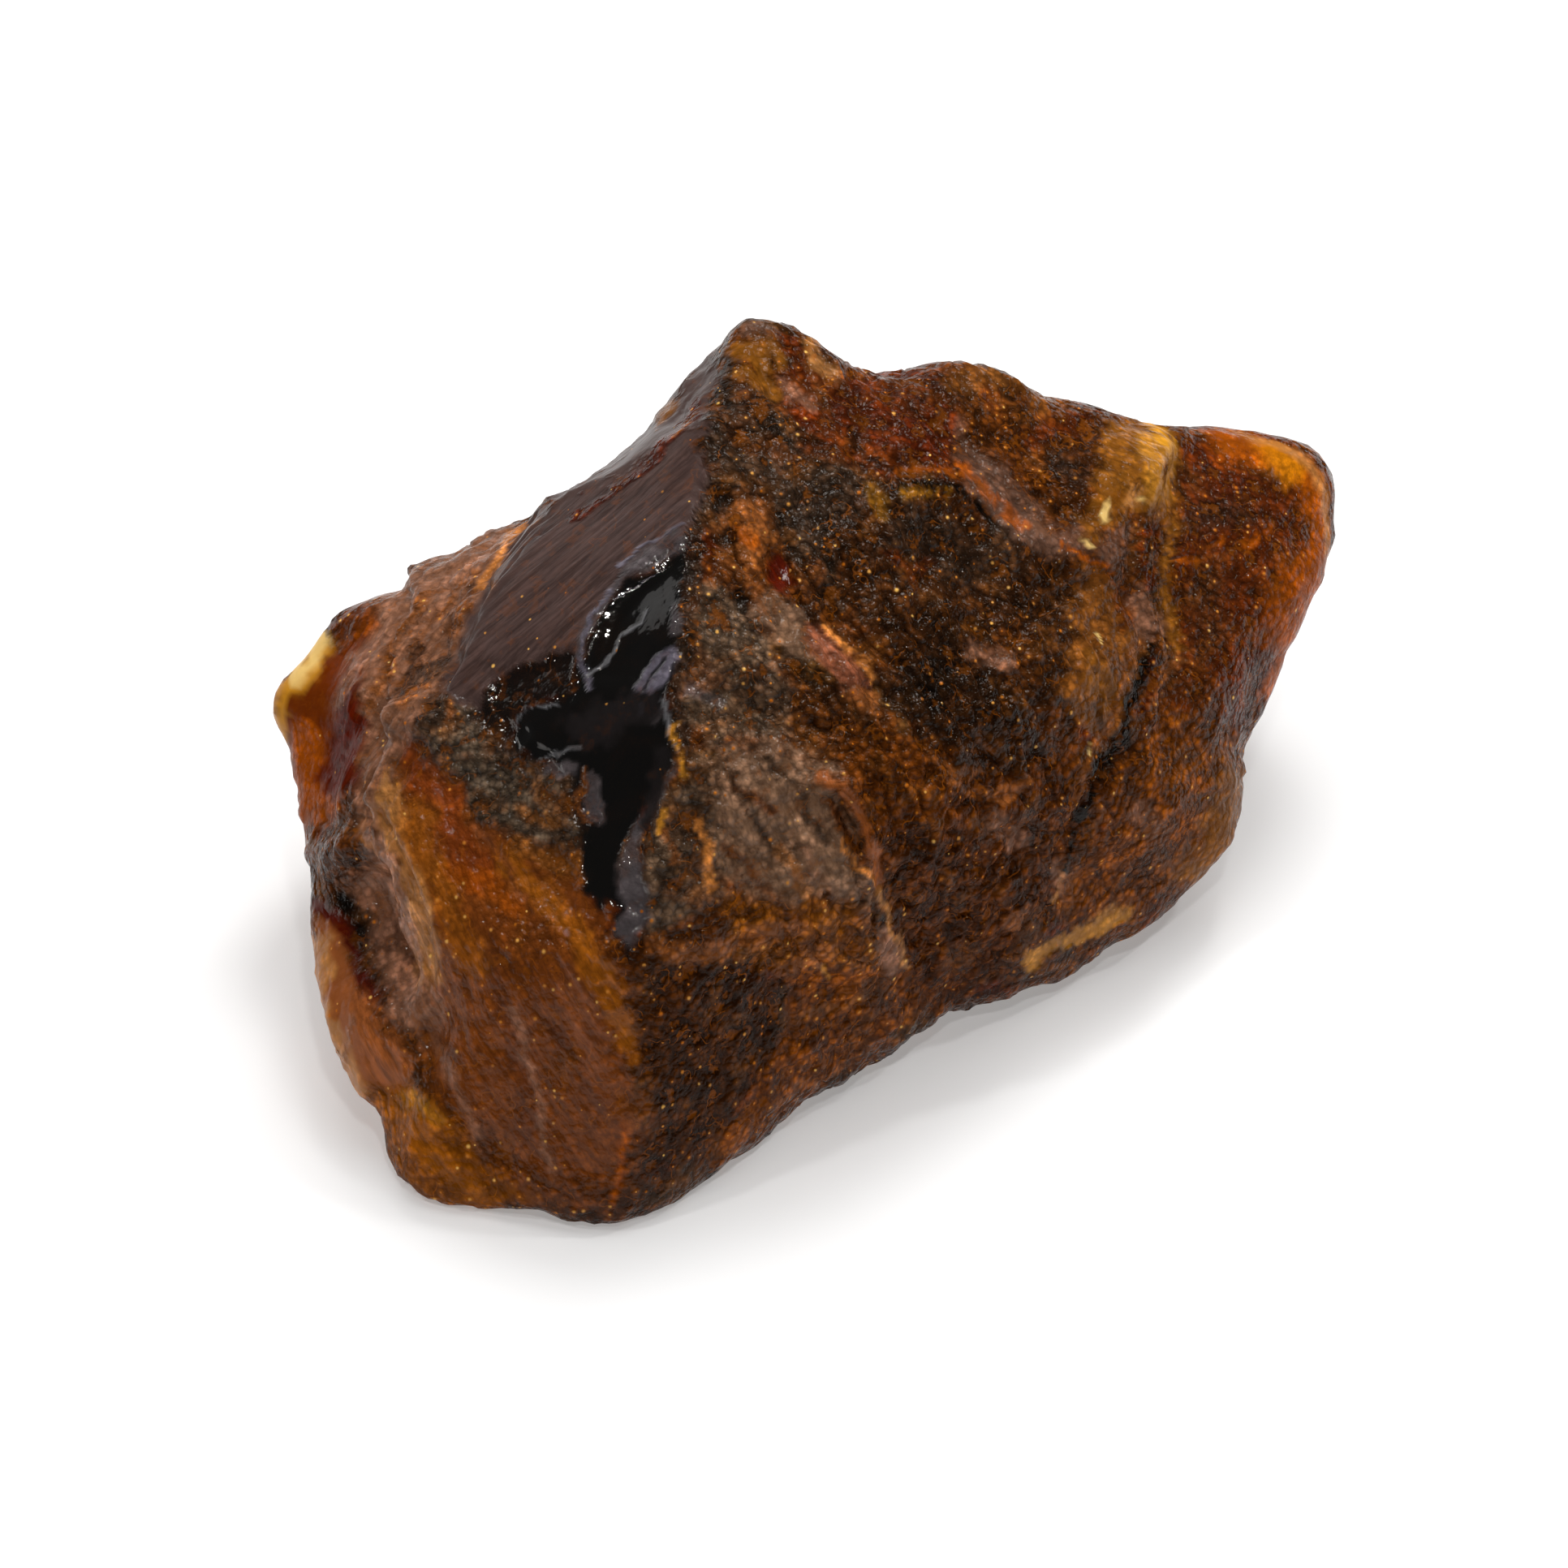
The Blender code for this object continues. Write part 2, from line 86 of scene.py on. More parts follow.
FRONT_CORNERS = {
    "skyline": [
        (-1.3, 28.6, -9), (1, 27.9, -10), (4.2, 25.9, -11), (7.2, 25.4, -13), (9.5, 26, -14),
        (13, 25.7, -15), (16.2, 24, -17), (20.2, 22.9, -19), (24.2, 21.9, -21), (28.2, 21.8, -25),
        (32, 21, -26),
    ],
    "right_lobe": [
        (33.6, 18.3, -25), (33.6, 14.8, -24), (32.2, 10.5, -23), (30.2, 5.8, -22), (28.7, 3, -21),
    ],
    "right_foot": [
        (28.3, -1, -20), (27.2, -4.2, -19), (23.7, -7.7, -18), (20.2, -10, -17), (14.7, -12.8, -14),
        (9.7, -14.4, -12),
    ],
    "front_foot": [
        (4.7, -17.7, -8), (-0.3, -20.6, -4), (-3.3, -23.2, -2), (-6.8, -25.7, -0.5),
        (-11, -27.2, 0.5), (-15.3, -26.2, 0.5), (-18.3, -25.9, 0), (-21, -26, -1), (-23.6, -24.4, -1.5),
    ],
    "left_foot": [
        (-24.6, -21.2, -3), (-26.8, -18.2, -5), (-28, -14.7, -6), (-29, -10.2, -8), (-29.2, -5.5, -10),
    ],
    "left_end": [(-30, -1.7, -12), (-31, 3.3, -14), (-31.2, 5.6, -14), (-28.8, 8.6, -14), (-26.6, 11, -14)],
    "left_skyline": [
        (-23.3, 12.7, -14), (-20.3, 14.3, -14), (-16.3, 16.3, -14), (-12.3, 18.4, -14),
        (-9.6, 20.6, -13), (-7.6, 23, -12), (-5.8, 25.3, -11), (-3.3, 28, -10),
    ],
    "bevel": [(-14.3, 17.3, -7.6), (-9.9, 19.6, -5.2), (-4.4, 22.6, -2.2)],
    "crest": [
        (-5.3, 18.7, 0.5), (-6, 15.9, 2.5), (-6.3, 10.4, 6), (-6.9, 5.4, 7.6), (-6.4, 0, 8.2),
        (-8.3, -6.7, 8.5),
    ],
    "keel": [(-9.4, -11.5, 8), (-9, -18, 5.5), (-8, -23, 2.5)],
    "glass_edge": [
        (-16, 15.6, -9), (-18, 13, -7), (-19.2, 10.5, -5), (-20.4, 7.7, -3.2), (-21.8, 5.3, -1.5),
    ],
    "glass_foot": [(-18, 2.5, 1.5), (-14, -2.5, 5.2)],
    "shoulder": [
        (-22.9, 2.8, -0.8), (-24.7, -1, -0.8), (-23.5, -5.4, 0.2), (-22, -11, 0.5), (-21.2, -15.5, 0.5),
    ],
    "waxy_face": [(-17.5, -11.5, 5), (-20.5, -18, 2), (-14.5, -21.5, 3), (-18.5, -23.5, 0.8)],
    "crevice": [(-26.5, -7, -6), (-25, -11, -3.5)],
    "left_pane": [(-27, -13, -3.5), (-25, -18, -1.5)],
    "terrace": [(-27.3, 7, -11), (-27.8, 2.5, -10), (-28.5, -2, -9.5)],
    "lip": [(-23.8, 11.4, -11), (-25.7, 6.9, -7.5), (-26, 1.8, -5.5), (-26.9, -1.8, -5)],
    "step": [(-20.8, 12.3, -9), (-22.8, 7.2, -5.5)],
    "broad_left": [
        (1.5, 20.5, -3), (1.5, 13.5, 1), (1.5, 6, 4.5), (0.5, -1.5, 6), (-2, -8, 6), (-4.5, -14.5, 4.5),
        (-4.5, -20, 1.5),
    ],
    "broad_middle": [
        (6.5, 23.5, -8), (9, 17.5, -4), (9, 11, -1), (9, 3.5, 2), (8, -3.5, 2.5), (5.5, -10, 0.5),
        (2, -16, -2),
    ],
    "broad_right": [
        (16, 20.5, -12), (16.5, 13.5, -7), (16.5, 6, -4), (15.5, -1.5, -4), (12.5, -7.5, -5),
        (10.5, -11.5, -8),
    ],
    "far_right": [
        (22.5, 19.5, -14), (22.5, 12.5, -11.5), (22.5, 5, -10), (21.5, -1.5, -10), (19, -6.5, -12),
    ],
    "lobe_face": [
        (25.3, 17.5, -18), (25.5, 10.5, -15), (25.5, 3.5, -13.5), (29.5, 16.5, -20), (29.5, 10.5, -18),
    ],
}

# The far side and the underside are given upright: across, back and up from the table.
REAR_CORNERS = {
    "brow": [
        (-29, 20, 11), (-21, 25, 16.5), (-12, 29, 18), (-2, 34, 27), (8, 37, 22), (18, 39, 18),
        (28, 40, 14), (34, 36, 13),
    ],
    "rear_face": [(-22, 27, 7.5), (-10, 34, 12), (2, 40, 13), (14, 41.5, 10), (25, 40, 6.5)],
    "rear_foot": [(-18, 26, 3), (-6, 32, 3.5), (6, 37, 4), (17, 38, 3)],
    "flanks": [(-28, 8, 6.5), (28, 24, 4.5)],
    "base_rim": [
        (-8, -14, -1), (-18, -13, -1), (-23, -4, -0.8), (-22, 10, -1), (-14, 23, -1), (2, 32, -1),
        (16, 32, -1), (23, 22, -1), (19, 12, -1), (8, 3, -1), (0, -6, -1),
    ],
    "base": [(-2, 10, -1.5)],
}

# The ridges that broke last, as chains of corners.
SHARP_CHAINS = ("crest", "glass_edge", "bevel", "left_skyline", "shoulder")

# Steps in the skin: a path, the height of the step and how far its low side reaches. The low side is
# to the right of the path, going from its first point to its last.
FRONT_LEDGES = {
    "lip": (
        [(-22.4, 13.4), (-23.8, 11.4), (-24.9, 9.7), (-25.7, 6.9), (-25.5, 4), (-26, 1.8), (-26.9, -1.8),
         (-26.4, -4.2)],
        1.9, 5.0,
    ),
    "glass_rim": (
        [(-14, 17.4), (-15.9, 16), (-18, 13), (-19.2, 10.5), (-20.4, 7.7), (-21.8, 5.3), (-22.9, 2.8)],
        1.1, 3.5,
    ),
    "waxy_rim": (
        [(-24.9, -0.6), (-25, -2), (-23.5, -5.4), (-22.4, -8.2), (-21.8, -10.6), (-21.4, -13.8)],
        1.1, 2.6,
    ),
    "lobe_step": (
        [(22.5, 0), (23.3, 4.4), (24.3, 7.8), (23.8, 10.4), (23.5, 13.6), (23.6, 17.1), (24.1, 20),
         (24.2, 22)],
        1.5, 7.0,
    ),
    "pocket_lip": (
        [(7.3, 18.6), (9.4, 19), (11.9, 18), (13.9, 15.7), (15.2, 14.8), (17.1, 15), (20, 12.9),
         (20.3, 11.3)],
        0.9, 6.0,
    ),
    "fold": ([(8, -11.6), (7.1, -9.3), (6.7, -7.6), (5.7, -5.8), (5.2, -3)], 0.6, 4.0),
    "long_fold": ([(6.5, 3.5), (4.6, 7), (2.3, 10.7), (1.2, 13.2)], 0.5, 3.0),
    "glass_step": (
        [(-12.7, 6.1), (-11.9, 8.5), (-11.1, 10.3), (-9.5, 12.2), (-6.8, 14.6), (-5.9, 15.2)],
        0.5, 2.6,
    ),
    "sheen_foot": ([(-21, 6.1), (-18.6, 5), (-17.9, 6.5), (-15.9, 7.3), (-12.7, 8.7)], 0.35, 2.0),
}
# Grooves: a path, the depth and the half width. A welt has a negative depth.
FRONT_SEAMS = {
    "strip_groove": ([(22, 18), (21.9, 13), (22, 11.5), (22.7, 9), (22.2, 6.4), (21.8, 4.4)], 0.6, 0.5),
    "lobe_crack": ([(22.4, 3), (20.1, 1), (19.1, -1), (18.1, -2.9), (17.4, -4.6), (16.8, -7)], 0.8, 0.6),
    "snake_welt": ([(2.2, 0.2), (3.8, 0), (5, -1.3), (5.3, -3), (5.3, -4.7), (5.8, -5.8)], -0.6, 0.5),
    "snake_groove": ([(3, -0.9), (3.8, -2.2), (4.3, -3.9), (5, -5.2)], 0.6, 0.5),
    "summit_cleft": ([(-1.5, 27.6), (-1.3, 26), (-0.8, 24.8), (-0.2, 23.6)], 0.8, 0.5),
    "crevice": ([(-27, -4.8), (-26.6, -6.6), (-25.8, -9.6), (-25, -12), (-24.2, -14.2)], 2.6, 1.1),
    "orange_welt": ([(-3.2, 19), (-2.6, 16.5), (-1.6, 13.5), (-1.2, 10.5)], -0.6, 1.2),
    "shelf": ([(-1.8, -17.5), (4.2, -14.7), (9.5, -13.9)], -0.5, 1.2),
}
# Dents: (across, up), radius and depth.
FRONT_HOLLOWS = {
    "red_pit": ((-0.4, 13.6), 1.1, 1.0),
    "upper_pit": ((-3.5, 17.4), 0.9, 0.7),
    "middle_pit": ((-3.7, 15.5), 0.9, 0.7),
    "lower_pit": ((-2.7, 11.5), 1.0, 0.7),
    "red_slope_pit": ((4.9, 20.5), 0.9, 0.8),
    "pocket": ((11.5, 13.5), 5.0, 0.7),
    "lobe_dish": ((28.0, 13.0), 4.0, 0.6),
    "glass_scoop": ((-9.5, 5.5), 4.0, 0.6),
    "glass_dish": ((-11.5, -1.5), 3.0, 0.35),
    "terrace_scoop": ((-27.6, 2.8), 2.4, 1.0),
    "foot_dish": ((1.0, -12.5), 3.5, 0.6),
    "skyline_saddle": ((5.5, 24.5), 2.2, 0.5),
}

# The same for the far side, sighted level from behind as across and up.
REAR_LEDGES = {
    "shell_break": ([(-20, 4), (-12, 9), (-3, 8.5), (5, 14), (12, 13)], 1.3, 8.0),
    "rear_step": ([(29, 3), (22, 7), (17, 13), (12, 18)], 0.9, 5.0),
}
REAR_SEAMS = {
    "rear_crack": ([(-14, 17), (-10, 13), (-8, 7), (-3, 3)], 0.8, 0.6),
    "rear_vein": ([(6, 23), (9, 17), (16, 11)], -0.5, 0.8),
}
REAR_HOLLOWS = {
    "rear_dish": ((-4, 16), 5.5, 1.1),
    "rear_pit": ((14, 8), 2.0, 0.8),
    "low_dish": ((20, 12), 4.0, 0.8),
}

# Where the skin is a smooth break, as outlines on the front. Elsewhere it is lumpy crust.
SMOOTH_BREAKS = {
    "glassy": [
        (-4.4, 22.5), (-8, 22), (-12, 18.6), (-15.9, 16), (-18, 13), (-20.4, 7.7), (-21.8, 5.3),
        (-16, 3.6), (-13.3, 1), (-11.5, -2), (-12, -6), (-10.5, -8.5), (-8.6, -6), (-6.6, 0),
        (-6.9, 5.5), (-6.3, 10.4), (-5.3, 18.7),
    ],
    "waxy": [
        (-24.9, -0.7), (-23.5, -5.4), (-21.4, -13.8), (-20.5, -20), (-13, -24), (-10.5, -20),
        (-11.5, -12), (-15, -8), (-19.5, -3), (-22.5, 1),
    ],
    "pane": [(-28.6, -9), (-26.8, -17), (-24.3, -18), (-24.4, -13.8), (-27.5, -7.5)],
    "terrace": [(-31.5, 5.5), (-30.8, 3), (-29.3, -2.5), (-27, -2), (-26.2, 1.8), (-25.9, 8), (-28.5, 9.5)],
}

# Grain drawn out one way: an outline on the front, the angle of the grain in degrees, its length and
# width, its height, and how deep its sharp furrows are.
DRAWN = {
    "broad_face": (
        [(-6, 20), (3, 27), (8, 24), (20, 16), (22, 10), (21, -2), (15, -12), (0, -21), (-8, -24),
         (-9, -8), (-6, 4)],
        -62, 6.0, 1.7, 0.2, 0.3,
    ),
    "skyline": (
        [(-1, 29), (9, 27), (30, 23), (22, 17), (14, 16), (8, 20), (-1, 24)],
        -20, 4.0, 1.6, 0.25, 0.25,
    ),
    "lip": (
        [(-16, 17), (-24, 14), (-27.5, 9), (-28.5, 1), (-28, -5), (-25.5, -6), (-22, 2), (-19, 10),
         (-14, 16.5)],
        62, 7.0, 1.1, 0.35, 0.3,
    ),
    "waxy_face": (
        [(-25, 0), (-27, -14), (-24, -25), (-8, -26), (-8, -12), (-15, -5), (-21, 2)],
        -58, 5.0, 0.9, 0.09, 0.12,
    ),
    "glassy": ([(-22, 5), (-15, 17), (-5, 22), (-6, 14), (-11, 11), (-13, 5)], 38, 6.0, 0.9, 0.035, 0.04),
    "right_lobe": ([(24, 22), (34, 20), (34, 8), (28, -3), (21, -2), (23, 10)], 70, 3.0, 1.8, 0.25, 0.2),
}

# Lumps: size across and height, on crust and on a smooth break.
LUMPS = ((12.0, 1.2, 0.5), (5.0, 0.75, 0.08), (2.4, 0.38, 0.05))

# Crumbs, which the solid leaves out, on crust alone: size across and height. A crumb rises from its sharp
# hollow by CRUMB_RISE times its height for each unit of the lumps that draw it, and the hollow lies
# CRUMB_SINK times its height under the skin.
CRUMBS = ((1.5, 0.2), (0.8, 0.1))
CRUMB_RISE = 2.0
CRUMB_SINK = 0.5

# ---------------------------------------------------------------------------------------------------
# The finishes: colour, how crumbly (0 is a clean break), how much bare resin shows in it, roughness, how
# much polish a break has, and what it is.

FINISHES = {
    # This is brown smoke under a glassy break, with part of the break's grey-brown sheen painted into it.
    "smoke_glass_and_sheen": ("#483733", 0.06, 0.15, 0.3, 0.1, "Fresh glassy break with brown smoke under it"),
    "black_glass": ("#040201", 0.03, 0.0, 0.06, 1.0, "Fresh break over the dark middle of the stone"),
    "bitumen": ("#180A04", 0.3, 0.3, 0.12, 0.8, "Chipped dark break"),
    # The next four finishes are painted reflections and highlights of the lamps on the dark glassy break,
    # not a bloom on it.
    "painted_blue_reflection": ("#79727F", 0.3, 0.1, 0.2, 0.6, "Blue-grey bloom in a chip"),
    "haze": ("#231E1E", 0.1, 0.1, 0.2, 0.7, "Faint bloom over the dark break"),
    "slate": ("#605758", 0.3, 0.1, 0.2, 0.6, "Blue-grey bloom"),
    "pale_slate": ("#807E80", 0.3, 0.1, 0.2, 0.5, "Pale bloom"),
    "cream": ("#F0C878", 0.03, 0.0, 0.3, 0.1, "Milky amber at the thinnest edge"),
    "milk_yellow": ("#D69324", 0.03, 0.0, 0.3, 0.1, "Cloudy yellow amber at a thin edge"),
    "gold": ("#C58329", 0.35, 0.2, 0.2, 0.25, "Bright yellow amber"),
    "honey": ("#BF7108", 0.1, 0.1, 0.3, 0.1, "Clear honey amber"),
    "amber_orange": ("#A84F06", 0.4, 0.3, 0.25, 0.1, "Orange amber where light comes through"),
    "cognac": ("#6C2A02", 0.1, 0.1, 0.3, 0.1, "Brown-orange amber"),
    "red_amber": ("#530F01", 0.08, 0.1, 0.3, 0.1, "Red amber"),
    "deep_red": ("#4F0F03", 0.1, 0.1, 0.2, 0.3, "Deep red amber in a pit"),
    "flesh": ("#9A5427", 0.12, 0.15, 0.35, 0.2, "Cloudy flesh-coloured break"),
    "waxy_tan": ("#CA8848", 0.3, 0.5, 0.35, 0.2, "Waxy tan skin"),
    "waxy_brown": ("#763B11", 0.3, 0.5, 0.33, 0.2, "Waxy brown break"),
    "waxy_rose": ("#894A24", 0.3, 0.5, 0.35, 0.2, "Waxy rose-brown break"),
    "red_brown": ("#7B360E", 0.3, 0.5, 0.3, 0.2, "Waxy red-brown break"),
    "waxy_dark": ("#5E311A", 0.3, 0.5, 0.33, 0.2, "Waxy dark brown break"),
    "waxy_ochre": ("#A15910", 0.3, 0.5, 0.33, 0.2, "Waxy ochre skin"),
    # This is a thin mauve-grey film on folds, with the sheen on their ridges painted into it.
    "mauve_film_and_sheen": ("#9D6C52", 0.5, 0.3, 0.15, 0.16, "Thin mauve-grey film on folds"),
    "grey_film": ("#8A674E", 0.6, 0.3, 0.15, 0.16, "Grey-brown film"),
    "deep_ochre": ("#9B540C", 0.6, 0.9, 0.15, 0.05, "Deep ochre crust low on the stone"),
    "ochre": ("#844F14", 0.4, 0.2, 0.22, 0.1, "Ochre skin"),
    "olive_ochre": ("#814B1B", 0.7, 0.3, 0.15, 0.16, "Weathered olive-ochre crust"),
    "yellow_moss": ("#A76C11", 0.6, 0.3, 0.15, 0.16, "Yellow crust under an edge"),
    "orange_crust": ("#8D5024", 0.8, 0.8, 0.15, 0.16, "Crumbly orange crust"),
    "tan_crust": ("#D8853C", 0.6, 0.4, 0.15, 0.16, "Raised tan welt"),
    "pink_brown": ("#894E35", 0.6, 0.3, 0.15, 0.16, "Pinkish crust"),
    "ash_olive": ("#4F4032", 1.0, 0.35, 0.15, 0.16, "Ash-coloured crust full of gold flecks"),
    "olive_umber": ("#4D3115", 0.9, 0.5, 0.15, 0.16, "Olive-brown crust"),
    "chestnut": ("#66330E", 0.9, 0.5, 0.15, 0.16, "Chestnut crust"),
    "rust": ("#5C2003", 0.9, 0.4, 0.15, 0.16, "Rust-red crust"),
    "oxblood": ("#491704", 0.8, 0.4, 0.15, 0.16, "Dark red crust"),
    "lobe_brown": ("#592305", 0.8, 0.5, 0.15, 0.16, "Red-brown crust"),
    "warm_umber": ("#7C3F0C", 1.0, 0.7, 0.15, 0.05, "Warm brown crust"),
    "umber": ("#4E2709", 1.0, 0.5, 0.15, 0.16, "Dark brown crust"),
    "dark_umber": ("#3E200A", 1.0, 0.4, 0.15, 0.16, "Very dark crust"),
    "soot": ("#372518", 1.0, 0.5, 0.15, 0.16, "Sooty crust"),
    # This black is crust in the stains, and painted shade in the hollows, pits, seams and crevice where it
    # is laid as a coat or stroke.
    "pitch": ("#0D0703", 0.9, 0.3, 0.15, 0.16, "Black crust in hollows"),
    "russet": ("#552907", 1.0, 0.6, 0.15, 0.05, "Russet-brown crust"),
    "mauve_crust": ("#664737", 0.5, 0.3, 0.15, 0.16, "Mauve-brown crust"),
    "grey_umber": ("#614A37", 1.0, 0.5, 0.15, 0.16, "Grey-brown crust"),
    "fold_brown": ("#81563E", 0.35, 0.35, 0.22, 0.2, "Brown folds that look drawn out"),
    "foot_umber": ("#412008", 1.0, 0.7, 0.15, 0.07, "Dark crust near the ground"),
    "tawny_crust": ("#874B13", 1.0, 0.7, 0.15, 0.05, "Tawny crust under a fold"),
}

